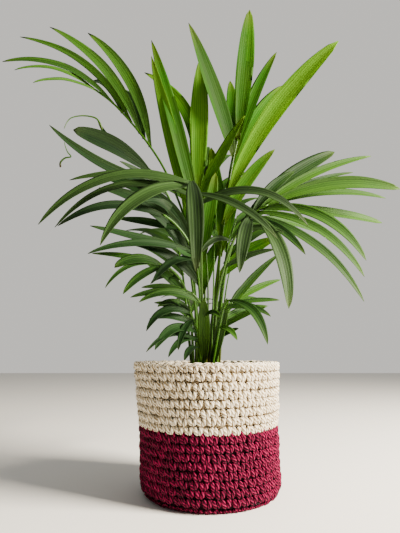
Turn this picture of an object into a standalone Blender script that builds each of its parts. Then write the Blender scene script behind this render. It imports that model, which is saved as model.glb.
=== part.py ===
"""Potted areca palm in a two-colour crocheted basket.

Metres, +Z up. The origin lies on the basket's flat base, under the middle of its rim. -Y is the
plant's front. The soft basket slouches, so its base sits a little to +X of the rim.
"""

import math
import random
from collections import namedtuple

import bmesh
import bpy
from mathutils import Vector

# Basket: a crocheted tub, worked in rounds of stitches.
BASKET_HEIGHT = 0.144
RIM_RADIUS = 0.0795
WAIST_RADIUS = 0.0763
BELLY_RADIUS = 0.0768
BELLY_HEIGHT = 0.018
BASE_RADIUS = 0.071
WALL = 0.006
BASE_THICKNESS = 0.005
SLOUCH = 0.005
COLOUR_LINE = 0.0765
ROUND_HEIGHT = 0.0085
STITCHES = 36
STITCH_RELIEF = 0.0030
TOOTH_DEPTH = 0.0036
RIM_ROLL = 0.003
RIM_INNER_DROP = 0.002
PLAIN_FOOT = 0.006
INNER_FLOOR_ROUND = 0.012
GAP = 0.0003

# Nursery pot: the thin plastic grower's pot that stands inside the basket.
POT_SIDES = 36
POT_FOOT_RADIUS = 0.054
POT_MOUTH_RADIUS = 0.0665
POT_LIP_RADIUS = 0.0695
POT_LIP_HEIGHT = 0.007
POT_HEIGHT = 0.122
POT_WALL = 0.0015
DRAIN_HOLES = 6
DRAIN_RADIUS = 0.004
DRAIN_RING_RADIUS = 0.036
DRAIN_SIDES = 12
CUTTER_REACH = 0.002
LIP_UNDERCUT = 0.0004

# Soil: fills the nursery pot, with one plain hole for each leaf stalk.
SOIL_TOP = 0.118
SOIL_CROWN = 0.003
SOIL_FLAT_RADIUS = 0.024
SOIL_SIDE_GAP = 0.0002
HOLE_DEPTH = 0.020
HOLE_CLEARANCE = 0.0005
HOLE_SIDES = 8
COLLAR = 0.005

# Foliage: blade thickness, and how a stalk tapers along its length.
BLADE_THICKNESS = 0.0008
BLADE_FOLD = 0.22
FOLDED_WIDTH = 0.0145
LONG_BLADE = 0.090
STALK_RINGS = 8
STALK_TIP_RADIUS = 0.0011
SMOOTH_STEPS = 12

Leaflet = namedtuple("Leaflet", "at tip width rise turn fullness", defaults=(0.0, 0, 0.9))
Frond = namedtuple("Frond", "foot stalk facing leaflets radius", defaults=(0.0024,))

# Each frond has its foot in the soil (x, y), the points that its stalk passes through, the way its
# leaf blades face, and its leaflets. A leaflet starts at a share of the stalk's length and ends at
# its tip. Its middle rises above the straight line between them, and its blade may turn (degrees).
# The fullness sets where the blade is widest: 0.75 is near its root, 1.3 makes a blunt tip.
FRONDS = {
    "frond_upright_middle": Frond(
        (-0.0035, 0.000),
        [(-0.0045, 0.000, 0.165), (-0.006, 0.000, 0.210), (-0.009, 0.000, 0.280),
         (-0.010, 0.004, 0.330), (-0.011, 0.008, 0.360)],
        (0.0, -1.0, 0.25),
        [Leaflet(0.72, (-0.058, -0.030, 0.464), 0.017, -0.006, -15, 0.85),
         Leaflet(0.80, (-0.060, -0.012, 0.494), 0.016, 0.011, 10, 0.85),
         Leaflet(0.99, (-0.072, 0.022, 0.482), 0.014, 0.021),
         Leaflet(0.90, (-0.006, -0.002, 0.482), 0.021, 0.0, 0, 1.0),
         Leaflet(0.84, (0.042, -0.012, 0.412), 0.015, 0.003, -20),
         Leaflet(0.45, (0.018, 0.016, 0.288), 0.014, 0.004)],
        0.0032),
    "frond_upright_right": Frond(
        (0.0039, 0.001),
        [(0.006, 0.003, 0.165), (0.010, 0.005, 0.215), (0.016, 0.005, 0.270),
         (0.022, 0.008, 0.320), (0.030, 0.011, 0.370), (0.037, 0.014, 0.402)],
        (0.1, -1.0, 0.25),
        [Leaflet(0.76, (0.1365, -0.034, 0.4765), 0.020, 0.014, 5, 1.2),
         Leaflet(0.66, (0.074, -0.014, 0.374), 0.015, 0.007, 20),
         Leaflet(0.80, (0.098, 0.056, 0.489), 0.019, 0.010, 0, 1.1),
         Leaflet(0.90, (0.086, 0.040, 0.519), 0.014, 0.006),
         Leaflet(0.92, (-0.019, -0.028, 0.500), 0.021, 0.003, 15, 0.8),
         Leaflet(0.97, (0.030, 0.046, 0.488), 0.017, 0.0),
         Leaflet(0.99, (0.050, 0.012, 0.547), 0.020, 0.002, 0, 1.15),
         Leaflet(0.45, (0.076, -0.005, 0.280), 0.015, 0.006, 0, 1.1)],
        0.0032),
    "frond_high_left": Frond(
        (-0.008, 0.006),
        [(-0.009, 0.008, 0.165), (-0.012, 0.010, 0.215), (-0.021, 0.010, 0.293),
         (-0.042, 0.012, 0.352), (-0.067, 0.015, 0.395), (-0.104, 0.019, 0.440),
         (-0.134, 0.020, 0.464)],
        (-0.2, -0.85, 0.45),
        [Leaflet(0.75, (-0.139, 0.024, 0.530), 0.013, 0.016, 0, 1.05),
         Leaflet(0.80, (-0.180, 0.014, 0.529), 0.012, 0.017, 0, 1.0),
         Leaflet(0.84, (-0.223, 0.034, 0.533), 0.009, 0.021),
         Leaflet(0.92, (-0.230, 0.004, 0.482), 0.009, 0.020, 0, 1.25),
         Leaflet(0.97, (-0.184, -0.024, 0.440), 0.008, 0.008),
         Leaflet(0.99, (-0.210, -0.010, 0.463), 0.007, 0.012, 0, 1.2),
         Leaflet(0.78, (-0.118, 0.080, 0.500), 0.013, 0.012),
         Leaflet(0.88, (-0.154, 0.078, 0.506), 0.012, 0.014)]),
    "frond_shaded_left": Frond(
        (-0.0105, -0.001),
        [(-0.011, -0.006, 0.165), (-0.012, -0.010, 0.200), (-0.020, -0.015, 0.255),
         (-0.033, -0.020, 0.302), (-0.047, -0.027, 0.330), (-0.062, -0.034, 0.344)],
        (-0.1, -0.95, 0.15),
        [Leaflet(0.98, (-0.132, -0.055, 0.373), 0.017, 0.006, 0, 1.3),
         Leaflet(0.92, (-0.153, -0.062, 0.374), 0.010, -0.010, 0, 0.8),
         Leaflet(0.99, (-0.118, -0.014, 0.405), 0.006, -0.006),
         Leaflet(0.87, (-0.084, -0.066, 0.337), 0.007, 0.003),
         Leaflet(0.82, (-0.122, -0.006, 0.350), 0.014, 0.006),
         Leaflet(0.94, (-0.088, 0.050, 0.356), 0.014, 0.008)]),
    "frond_front_arching": Frond(
        (0.000, -0.0075),
        [(-0.002, -0.020, 0.165), (-0.005, -0.036, 0.210), (-0.006, -0.060, 0.255),
         (-0.010, -0.088, 0.290), (-0.015, -0.110, 0.301)],
        (0.0, -0.85, 0.5),
        [Leaflet(0.97, (-0.0855, -0.138, 0.2375), 0.014, 0.014, 0, 0.75),
         Leaflet(0.98, (-0.142, -0.118, 0.260), 0.012, 0.022),
         Leaflet(0.94, (-0.124, -0.092, 0.308), 0.008, 0.010),
         Leaflet(0.99, (-0.010, -0.150, 0.214), 0.014, 0.014, 0, 1.0),
         Leaflet(0.93, (0.056, -0.126, 0.246), 0.009, 0.008),
         Leaflet(0.88, (0.086, -0.108, 0.262), 0.011, 0.021, 0, 0.8),
         Leaflet(0.91, (-0.133, -0.104, 0.262), 0.009, 0.024, 0, 0.75)]),
    "frond_mid_left": Frond(
        (-0.0075, -0.008),
        [(-0.007, -0.012, 0.165), (-0.007, -0.016, 0.210), (-0.011, -0.022, 0.248),
         (-0.020, -0.030, 0.271), (-0.033, -0.038, 0.286), (-0.046, -0.045, 0.294)],
        (-0.1, -0.9, 0.35),
        [Leaflet(0.97, (-0.138, -0.082, 0.270), 0.011, 0.015, 0, 0.95),
         Leaflet(0.77, (-0.114, -0.060, 0.277), 0.009, 0.000),
         Leaflet(0.76, (-0.113, -0.072, 0.247), 0.009, 0.010),
         Leaflet(0.70, (-0.108, -0.050, 0.318), 0.017, 0.019),
         Leaflet(0.72, (-0.050, -0.090, 0.216), 0.010, 0.009),
         Leaflet(0.88, (-0.094, -0.024, 0.296), 0.009, 0.002),
         Leaflet(0.74, (-0.031, -0.052, 0.258), 0.007, -0.002)]),
    "frond_low_left": Frond(
        (-0.0145, -0.008),
        [(-0.015, -0.016, 0.165), (-0.018, -0.028, 0.200), (-0.024, -0.038, 0.223),
         (-0.036, -0.048, 0.237), (-0.050, -0.055, 0.241)],
        (-0.2, -0.9, 0.4),
        [Leaflet(0.96, (-0.087, -0.076, 0.233), 0.012, 0.007, 0, 1.25),
         Leaflet(0.99, (-0.093, -0.088, 0.212), 0.006, 0.009),
         Leaflet(0.94, (-0.076, -0.092, 0.206), 0.010, 0.005),
         Leaflet(0.90, (-0.113, -0.056, 0.251), 0.007, 0.004),
         Leaflet(0.82, (-0.062, -0.004, 0.230), 0.010, 0.007)]),
    "frond_lower_left": Frond(
        (-0.0035, -0.0145),
        [(-0.001, -0.027, 0.160), (-0.003, -0.038, 0.188), (-0.008, -0.045, 0.205),
         (-0.016, -0.050, 0.214)],
        (-0.1, -0.9, 0.4),
        [Leaflet(0.90, (-0.063, -0.082, 0.200), 0.010, 0.009),
         Leaflet(0.97, (-0.064, -0.060, 0.217), 0.006, 0.004),
         Leaflet(0.99, (-0.073, -0.070, 0.206), 0.007, 0.004),
         Leaflet(0.76, (0.012, -0.078, 0.186), 0.007, 0.005),
         Leaflet(0.35, (-0.003, -0.050, 0.207), 0.013, 0.0, 0, 1.3)]),
    "frond_rim_left": Frond(
        (-0.0108, -0.0148),
        [(-0.009, -0.021, 0.145), (-0.009, -0.027, 0.165), (-0.012, -0.035, 0.183),
         (-0.018, -0.041, 0.196)],
        (-0.2, -0.9, 0.4),
        [Leaflet(0.98, (-0.058, -0.070, 0.174), 0.010, 0.011),
         Leaflet(0.85, (-0.056, -0.062, 0.186), 0.008, 0.005),
         Leaflet(0.76, (-0.049, -0.078, 0.156), 0.012, 0.012),
         Leaflet(0.66, (-0.056, -0.086, 0.154), 0.007, 0.012),
         Leaflet(0.90, (-0.028, -0.064, 0.156), 0.008, 0.006),
         Leaflet(0.60, (-0.022, -0.066, 0.146), 0.009, 0.005),
         Leaflet(0.70, (-0.038, -0.058, 0.149), 0.008, 0.007),
         Leaflet(0.94, (-0.050, -0.040, 0.202), 0.008, 0.005)]),
    "frond_spreading_right": Frond(
        (0.011, -0.002),
        [(0.013, -0.006, 0.165), (0.017, -0.012, 0.215), (0.023, -0.022, 0.252),
         (0.033, -0.031, 0.282), (0.047, -0.040, 0.296), (0.062, -0.048, 0.302)],
        (0.1, -0.95, 0.3),
        [Leaflet(0.86, (0.148, 0.014, 0.385), 0.017, 0.008, 0, 1.25),
         Leaflet(0.92, (0.096, -0.010, 0.352), 0.012, 0.004, 0, 1.0),
         Leaflet(0.95, (0.176, -0.020, 0.364), 0.009, 0.009),
         Leaflet(0.97, (0.172, 0.022, 0.365), 0.007, 0.006),
         Leaflet(0.99, (0.192, -0.052, 0.316), 0.014, 0.013, 0, 1.2),
         Leaflet(0.98, (0.188, -0.028, 0.316), 0.008, 0.010, 0, 1.1),
         Leaflet(0.97, (0.194, -0.006, 0.297), 0.011, 0.004, 0, 1.3),
         Leaflet(0.96, (0.142, -0.092, 0.236), 0.013, 0.017, 0, 1.0),
         Leaflet(0.93, (0.146, -0.078, 0.224), 0.010, 0.016, 0, 1.05),
         Leaflet(0.91, (0.152, -0.062, 0.203), 0.010, 0.015, 0, 0.95),
         Leaflet(0.88, (0.086, -0.098, 0.240), 0.010, 0.008),
         Leaflet(0.84, (0.136, 0.040, 0.300), 0.012, 0.010)]),
    "frond_front_right": Frond(
        (0.007, -0.0085),
        [(0.008, -0.013, 0.160), (0.010, -0.036, 0.205), (0.017, -0.058, 0.238),
         (0.028, -0.071, 0.266), (0.044, -0.080, 0.283)],
        (0.1, -0.9, 0.45),
        [Leaflet(0.99, (0.067, -0.118, 0.190), 0.014, 0.013, 0, 1.1),
         Leaflet(0.97, (0.026, -0.118, 0.220), 0.013, 0.007),
         Leaflet(0.90, (0.066, -0.102, 0.258), 0.009, 0.003),
         Leaflet(0.84, (-0.006, -0.104, 0.240), 0.007, 0.007),
         Leaflet(0.72, (0.066, -0.060, 0.254), 0.007, 0.003)]),
    "frond_low_right": Frond(
        (0.014, 0.0055),
        [(0.014, 0.004, 0.150), (0.016, 0.003, 0.178), (0.021, 0.005, 0.197),
         (0.031, 0.009, 0.212)],
        (0.2, -0.9, 0.4),
        [Leaflet(0.84, (0.086, 0.025, 0.270), 0.009, 0.004),
         Leaflet(0.94, (0.057, 0.016, 0.240), 0.009, 0.002),
         Leaflet(0.99, (0.090, 0.036, 0.242), 0.008, 0.003),
         Leaflet(0.97, (0.084, 0.010, 0.214), 0.006, 0.002),
         Leaflet(0.70, (0.066, -0.010, 0.204), 0.007, 0.003),
         Leaflet(0.62, (0.035, -0.014, 0.180), 0.006, 0.001),
         Leaflet(0.78, (0.070, 0.050, 0.206), 0.009, 0.006)]),
    "frond_rim_right": Frond(
        (0.004, -0.0153),
        [(0.008, -0.022, 0.150), (0.013, -0.030, 0.178), (0.017, -0.038, 0.198),
         (0.023, -0.044, 0.208)],
        (0.1, -0.9, 0.45),
        [Leaflet(0.98, (0.055, -0.084, 0.161), 0.010, 0.012),
         Leaflet(0.90, (0.064, -0.048, 0.190), 0.008, 0.006),
         Leaflet(0.72, (0.030, -0.052, 0.166), 0.007, 0.004),
         Leaflet(0.30, (0.021, -0.035, 0.210), 0.011, 0.0, 0, 1.2)]),
}

# The fronds behind the others lean back. Their leaflets follow a rule: stalk points, the leaflet
# count, the longest leaflet, its width, and the seed of the small differences between leaflets.
BackFrond = namedtuple("BackFrond", "foot stalk count length width seed")
BACK_FACING = (0.0, -0.55, 0.85)
BACK_FIRST_LEAFLET = 0.60
BACK_LAST_LEAFLET = 0.99
BACK_WIDEST_SPREAD = 46
BACK_NARROWEST_SPREAD = 8
BACK_FRONDS = {
    "frond_back_upright": BackFrond(
        (0.000, 0.0083),
        [(0.000, 0.016, 0.165), (-0.001, 0.028, 0.230), (0.000, 0.044, 0.310),
         (0.001, 0.064, 0.372), (0.002, 0.090, 0.414)],
        8, 0.108, 0.018, 3),
    "frond_back_left": BackFrond(
        (-0.015, 0.0055),
        [(-0.019, 0.014, 0.165), (-0.024, 0.030, 0.215), (-0.031, 0.054, 0.268),
         (-0.040, 0.084, 0.304), (-0.048, 0.116, 0.318)],
        7, 0.105, 0.016, 5),
    "frond_back_right": BackFrond(
        (0.0075, 0.0095),
        [(0.011, 0.020, 0.165), (0.018, 0.036, 0.225), (0.028, 0.060, 0.286),
         (0.040, 0.090, 0.328), (0.050, 0.122, 0.344)],
        7, 0.110, 0.017, 8),
    "frond_back_low_left": BackFrond(
        (-0.0065, 0.0135),
        [(-0.010, 0.026, 0.160), (-0.016, 0.046, 0.196), (-0.022, 0.072, 0.220),
         (-0.027, 0.098, 0.228)],
        5, 0.070, 0.012, 13),
    "frond_back_low_right": BackFrond(
        (0.0085, 0.0168),
        [(0.014, 0.030, 0.160), (0.024, 0.050, 0.192), (0.034, 0.074, 0.214),
         (0.042, 0.100, 0.222)],
        5, 0.075, 0.012, 21),
}

COLOURS = {
    "cream": (0.66, 0.57, 0.44),
    "burgundy": (0.19, 0.008, 0.03),
    "pot": (0.03, 0.03, 0.032),
    "soil": (0.035, 0.02, 0.012),
    "leaf": (0.10, 0.24, 0.02),
}


def smooth_route(points, steps=SMOOTH_STEPS):
    """A smooth curve through the points, as a list of closely spaced points."""
    knots = [Vector(point) for point in points]
    knots = [2 * knots[0] - knots[1]] + knots + [2 * knots[-1] - knots[-2]]
    route = []
    for before, start, end, after in zip(knots, knots[1:], knots[2:], knots[3:]):
        for step in range(steps):
            t = step / steps
            route.append(0.5 * (2 * start + (end - before) * t
                                + (2 * before - 5 * start + 4 * end - after) * t ** 2
                                + (3 * start - before - 3 * end + after) * t ** 3))
    return route + [knots[-2]]


def point_along(route, share):
    """The point and direction at a share of the route's length."""
    lengths = [(b - a).length for a, b in zip(route, route[1:])]
    left = share * sum(lengths)
    for start, end, length in zip(route, route[1:], lengths):
        if left <= length:
            return start.lerp(end, left / length), (end - start).normalized()
        left -= length
    return route[-1], (route[-1] - route[-2]).normalized()


def stalk_route(foot, stalk):
    """The stalk's smooth route, from the bottom of its hole in the soil upwards."""
    bottom = (*foot, SOIL_TOP - HOLE_DEPTH + GAP)
    surface = (*foot, SOIL_TOP + SOIL_CROWN)
    collar = (*foot, SOIL_TOP + SOIL_CROWN + COLLAR)
    return smooth_route([bottom, surface, collar] + list(stalk))


def back_leaflets(frond):
    """Leaflets that alternate left and right of a back frond's stalk and spread less to its end."""
    rng = random.Random(frond.seed)
    route = stalk_route(frond.foot, frond.stalk)
    leaflets = []
    for index in range(frond.count):
        share = index / (frond.count - 1)
        at = BACK_FIRST_LEAFLET + (BACK_LAST_LEAFLET - BACK_FIRST_LEAFLET) * share
        root, ahead = point_along(route, at)
        outward = 1 if frond.foot[0] >= 0 else -1
        side = ahead.cross(Vector((0, 0, 1.0))).normalized() * outward * (-1) ** index
        spread = BACK_WIDEST_SPREAD + (BACK_NARROWEST_SPREAD - BACK_WIDEST_SPREAD) * share
        spread = math.radians(spread + rng.uniform(-4, 4))
        length = frond.length * (0.72 + 0.28 * math.sin(math.pi * (0.2 + 0.7 * share)))
        ahead = Vector((ahead.x, ahead.y, 0.75 * ahead.z)).normalized()
        reach = ahead * math.cos(spread) + side * math.sin(spread)
        tip = root + reach * length - Vector((0, 0, length * (0.12 + 0.2 * share)))
        width = frond.width * rng.uniform(0.9, 1.1)
        leaflets.append(Leaflet(at, tuple(tip), width, 0.10 * length))
    return leaflets


def all_fronds():
    """Every frond by name, with the back fronds' leaflets worked out."""
    fronds = dict(FRONDS)
    for name, frond in BACK_FRONDS.items():
        fronds[name] = Frond(frond.foot, frond.stalk, BACK_FACING, back_leaflets(frond))
    return fronds


def material(name, colour, roughness):
    """A plain material with one colour."""
    made = bpy.data.materials.new(name)
    made.use_nodes = True
    shader = made.node_tree.nodes["Principled BSDF"]
    shader.inputs["Base Color"].default_value = (*colour, 1.0)
    shader.inputs["Roughness"].default_value = roughness
    shader.inputs["Metallic"].default_value = 0.0
    return made


def add_object(name, data, collection):
    """A new object with the given mesh or curve, in the given collection."""
    made = bpy.data.objects.new(name, data)
    collection.objects.link(made)
    return made


def evaluated_mesh(obj):
    """The object's mesh with its modifiers applied."""
    graph = bpy.context.evaluated_depsgraph_get()
    return bpy.data.meshes.new_from_object(obj.evaluated_get(graph), depsgraph=graph)


def apply_modifiers(obj):
    """Replaces the object's mesh with its evaluated one."""
    mesh = evaluated_mesh(obj)
    obj.modifiers.clear()
    obj.data = mesh


def turned(name, profile, sides, collection):
    """A turned solid: an (x, z) profile, outer side running down, carried round the Z axis.

    A profile that doesn't start on the axis is closed into a ring.
    """
    mesh = bpy.data.meshes.new(name)
    edges = [(i, i + 1) for i in range(len(profile) - 1)]
    if profile[0][0] > 0:
        edges.append((len(profile) - 1, 0))
    mesh.from_pydata([(x, 0.0, z) for x, z in profile], edges, [])
    made = add_object(name, mesh, collection)
    screw = made.modifiers.new("turn", "SCREW")
    screw.steps = sides
    screw.render_steps = sides
    screw.use_merge_vertices = True
    screw.merge_threshold = 0.0001
    screw.use_normal_calculate = True
    return made


def wall_radius(height):
    """The basket's outer radius at a height: a belly low down, a waist, and a wider rim."""
    if height < BELLY_HEIGHT:
        share = max(0.0, 1 - height / BELLY_HEIGHT)
        return BASE_RADIUS + (BELLY_RADIUS - BASE_RADIUS) * math.sqrt(1 - share ** 4)
    if height < COLOUR_LINE:
        share = (height - BELLY_HEIGHT) / (COLOUR_LINE - BELLY_HEIGHT)
        return BELLY_RADIUS + (WAIST_RADIUS - BELLY_RADIUS) * (1 - math.cos(math.pi * share)) / 2
    share = (height - COLOUR_LINE) / (BASKET_HEIGHT - COLOUR_LINE)
    return WAIST_RADIUS + (RIM_RADIUS - WAIST_RADIUS) * share


def crochet(obj, first, last):
    """Raises every second point of each round, shifted round by round, into rows of stitches.

    The seam between the two colours is a row of teeth, and the whole basket slouches to one side.
    """
    apply_modifiers(obj)
    columns = 2 * STITCHES
    for vertex in obj.data.vertices:
        x, y, z = vertex.co
        radius = math.hypot(x, y)
        column = round((math.atan2(y, x) % math.tau) / math.tau * columns) % columns
        round_number = round((z - COLOUR_LINE) / ROUND_HEIGHT)
        if abs(z - COLOUR_LINE) < 2 * GAP:
            vertex.co.z += TOOTH_DEPTH * (0.5 if column % 2 else -0.5)
        elif first < z < last and radius > wall_radius(z) - WALL / 2:
            raised = 0.5 if (column + round_number) % 2 else -0.5
            scale = 1 + raised * STITCH_RELIEF / radius
            vertex.co.x *= scale
            vertex.co.y *= scale
        vertex.co.x += SLOUCH * (1 - vertex.co.z / BASKET_HEIGHT)


def outer_wall(bottom, top):
    """Profile points down the basket's outer side, one for each round of stitches."""
    first = math.ceil((bottom - COLOUR_LINE) / ROUND_HEIGHT + 0.01)
    last = math.floor((top - COLOUR_LINE) / ROUND_HEIGHT - 0.01)
    heights = [COLOUR_LINE + ROUND_HEIGHT * index for index in range(last, first - 1, -1)]
    return [(wall_radius(height), height) for height in heights]


def basket_upper(collection):
    """The cream half of the wall with its rolled rim."""
    seam = COLOUR_LINE + GAP / 2
    inner_top = RIM_RADIUS - WALL
    inner_seam = WAIST_RADIUS - WALL
    roll = BASKET_HEIGHT - RIM_ROLL
    profile = [(inner_top, BASKET_HEIGHT - RIM_INNER_DROP)]
    profile += [(RIM_RADIUS - WALL / 2, BASKET_HEIGHT), (RIM_RADIUS, roll)]
    profile += outer_wall(COLOUR_LINE, roll)
    profile += [(WAIST_RADIUS, seam), (inner_seam, seam)]
    made = turned("basket_upper_cream", profile, 2 * STITCHES, collection)
    crochet(made, COLOUR_LINE, roll - RIM_INNER_DROP)
    return made


def basket_lower(collection):
    """The burgundy half of the wall with the flat base."""
    seam = COLOUR_LINE - GAP / 2
    curl = PLAIN_FOOT * 0.45
    profile = [(0.0, BASE_THICKNESS), (BASE_RADIUS - WALL, BASE_THICKNESS),
               (BELLY_RADIUS - WALL, BASE_THICKNESS + INNER_FLOOR_ROUND)]
    profile += [(WAIST_RADIUS - WALL, seam), (WAIST_RADIUS, seam)]
    profile += outer_wall(PLAIN_FOOT, COLOUR_LINE)
    profile += [(wall_radius(curl), curl), (BASE_RADIUS, 0.0), (0.0, 0.0)]
    made = turned("basket_lower_burgundy", profile, 2 * STITCHES, collection)
    crochet(made, PLAIN_FOOT + RIM_INNER_DROP, COLOUR_LINE)
    return made


def cylinder(name, radius, bottom, top, place, sides, collection):
    """An upright closed cylinder between two heights, used as a cutter."""
    work = bmesh.new()
    bmesh.ops.create_cone(work, cap_ends=True, segments=sides, radius1=radius, radius2=radius,
                          depth=top - bottom)
    mesh = bpy.data.meshes.new(name)
    work.to_mesh(mesh)
    work.free()
    made = add_object(name, mesh, collection)
    made.location = (*place, (top + bottom) / 2)
    made.hide_render = True
    made.display_type = "WIRE"
    return made


def cut_with(obj, cutters):
    """Cuts all the collection's cutters out of the object."""
    cut = obj.modifiers.new("holes", "BOOLEAN")
    cut.operation = "DIFFERENCE"
    cut.operand_type = "COLLECTION"
    cut.collection = cutters
    cut.solver = "EXACT"


def nursery_pot(collection, cutters):
    """The grower's pot: a tapered plastic cup with a lip and drain holes in its floor."""
    floor = BASE_THICKNESS + GAP
    top = floor + POT_HEIGHT
    lip = top - POT_LIP_HEIGHT
    inner_mouth = POT_MOUTH_RADIUS - POT_WALL
    inner_foot = POT_FOOT_RADIUS - POT_WALL
    profile = [(0.0, floor + POT_WALL), (inner_foot, floor + POT_WALL), (inner_mouth, top),
               (POT_LIP_RADIUS, top), (POT_LIP_RADIUS, lip), (POT_MOUTH_RADIUS - LIP_UNDERCUT, lip),
               (POT_FOOT_RADIUS, floor), (0.0, floor)]
    made = turned("nursery_pot", profile, POT_SIDES, collection)
    for index in range(DRAIN_HOLES):
        angle = math.tau * index / DRAIN_HOLES
        place = (DRAIN_RING_RADIUS * math.cos(angle), DRAIN_RING_RADIUS * math.sin(angle))
        cylinder(f"drain_cutter_{index + 1}", DRAIN_RADIUS, floor - CUTTER_REACH,
                 floor + POT_WALL + CUTTER_REACH, place, DRAIN_SIDES, cutters)
    cut_with(made, cutters)
    return made


def potting_soil(collection, cutters, fronds):
    """The soil that fills the pot, slightly crowned, with a plain hole for each stalk."""
    bottom = BASE_THICKNESS + POT_WALL + 2 * GAP
    pot_floor = BASE_THICKNESS + GAP + POT_WALL
    inner_foot = POT_FOOT_RADIUS - POT_WALL - GAP
    slope = (POT_MOUTH_RADIUS - POT_FOOT_RADIUS) / (POT_HEIGHT - POT_WALL)
    edge = inner_foot + slope * (SOIL_TOP - pot_floor) - SOIL_SIDE_GAP
    profile = [(0.0, SOIL_TOP + SOIL_CROWN), (SOIL_FLAT_RADIUS, SOIL_TOP + SOIL_CROWN),
               (edge * 0.8, SOIL_TOP + SOIL_CROWN * 0.4), (edge, SOIL_TOP),
               (inner_foot - SOIL_SIDE_GAP, bottom), (0.0, bottom)]
    made = turned("potting_soil", profile, POT_SIDES, collection)
    for name, frond in fronds.items():
        cylinder(f"hole_for_{name}", frond.radius + HOLE_CLEARANCE, SOIL_TOP - HOLE_DEPTH,
                 SOIL_TOP + SOIL_CROWN + CUTTER_REACH, frond.foot, HOLE_SIDES, cutters)
    cut_with(made, cutters)
    return made


def blade_share(s, fullness):
    """The blade's width at a share of its length: a narrow root, a wide middle and a point."""
    sharpness = 1.0 - 0.4 * fullness
    body = math.sin(math.pi * s ** fullness) ** sharpness if 0 < s < 1 else 0.0
    return max(body, 0.34 * (1 - s) ** 3, 0.07)


def leaflet_blade(name, root, leaflet, facing, collection):
    """One leaf blade: a folded strip along a bowed line, thickened."""
    tip = Vector(leaflet.tip)
    chord = tip - root
    along = chord.normalized()
    up = Vector((0, 0, 1.0)) - along * along.z
    if up.length < 0.35:
        up = facing - along * facing.dot(along)
    bend = root + chord * 0.5 + up.normalized() * (2 * leaflet.rise)
    segments = 5 if chord.length > LONG_BLADE else 4
    halves = 2 if leaflet.width > FOLDED_WIDTH else 1
    work = bmesh.new()
    bmesh.ops.create_grid(work, x_segments=segments, y_segments=halves, size=1.0)
    for vertex in work.verts:
        s = (vertex.co.x + 1) / 2
        across = vertex.co.y
        centre = root * (1 - s) ** 2 + bend * (2 * s * (1 - s)) + tip * s ** 2
        ahead = ((bend - root) * (1 - s) + (tip - bend) * s).normalized()
        side = facing.cross(ahead).normalized()
        normal = ahead.cross(side)
        turn = math.radians(leaflet.turn)
        side, normal = (side * math.cos(turn) + normal * math.sin(turn),
                        normal * math.cos(turn) - side * math.sin(turn))
        half = leaflet.width / 2 * blade_share(s, leaflet.fullness)
        vertex.co = centre + side * (across * half) + normal * (abs(across) * half * BLADE_FOLD)
    bmesh.ops.triangulate(work, faces=work.faces[:])
    mesh = bpy.data.meshes.new(name)
    work.to_mesh(mesh)
    work.free()
    blade = add_object(name, mesh, collection)
    thick = blade.modifiers.new("thickness", "SOLIDIFY")
    thick.thickness = BLADE_THICKNESS
    thick.offset = 0.0
    return blade


def stalk_tube(name, frond, route, collection):
    """The frond's stalk: a round tube that tapers from its foot to its end, as a closed mesh."""
    curve = bpy.data.curves.new(name, "CURVE")
    curve.dimensions = "3D"
    curve.bevel_depth = frond.radius
    curve.bevel_resolution = 1
    curve.use_fill_caps = True
    spline = curve.splines.new("POLY")
    spline.points.add(STALK_RINGS)
    length = sum((b - a).length for a, b in zip(route, route[1:]))
    straight = (HOLE_DEPTH + SOIL_CROWN + COLLAR * 0.8) / length
    shares = [0.0] + [straight + (1 - straight) * i / (STALK_RINGS - 1) for i in range(STALK_RINGS)]
    for point, share in zip(spline.points, shares):
        point.co = (*point_along(route, share)[0], 1.0)
        point.radius = 1 + (STALK_TIP_RADIUS / frond.radius - 1) * share ** 0.8
    tube = add_object(name, curve, collection)
    mesh = evaluated_mesh(tube)
    work = bmesh.new()
    work.from_mesh(mesh)
    bmesh.ops.remove_doubles(work, verts=work.verts[:], dist=0.00005)
    work.to_mesh(mesh)
    work.free()
    place = tube.matrix_world.copy()
    bpy.data.objects.remove(tube)
    stalk = add_object(name, mesh, collection)
    stalk.matrix_world = place
    return stalk


def grow_frond(name, frond, collection, blades):
    """One frond: its stalk with every leaflet joined on, as one solid."""
    route = stalk_route(frond.foot, frond.stalk)
    stalk = stalk_tube(name, frond, route, collection)
    facing = Vector(frond.facing).normalized()
    for index, leaflet in enumerate(frond.leaflets):
        root = point_along(route, leaflet.at)[0]
        leaflet_blade(f"{name}_leaflet_{index + 1}", root, leaflet, facing, blades)
    join = stalk.modifiers.new("leaflets", "BOOLEAN")
    join.operation = "UNION"
    join.operand_type = "COLLECTION"
    join.collection = blades
    join.solver = "MANIFOLD"
    apply_modifiers(stalk)
    for blade in list(blades.objects):
        bpy.data.objects.remove(blade)
    return stalk


def finish(obj, made_of, smooth=None):
    """Gives the object its material and, where it is round, smooth shading."""
    obj.data.materials.clear()
    obj.data.materials.append(made_of)
    if smooth is not None:
        obj.data.shade_smooth()
        obj.data.set_sharp_from_angle(angle=math.radians(smooth))


def new_collection(name):
    """A collection linked to the scene."""
    made = bpy.data.collections.new(name)
    bpy.context.scene.collection.children.link(made)
    return made


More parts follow.
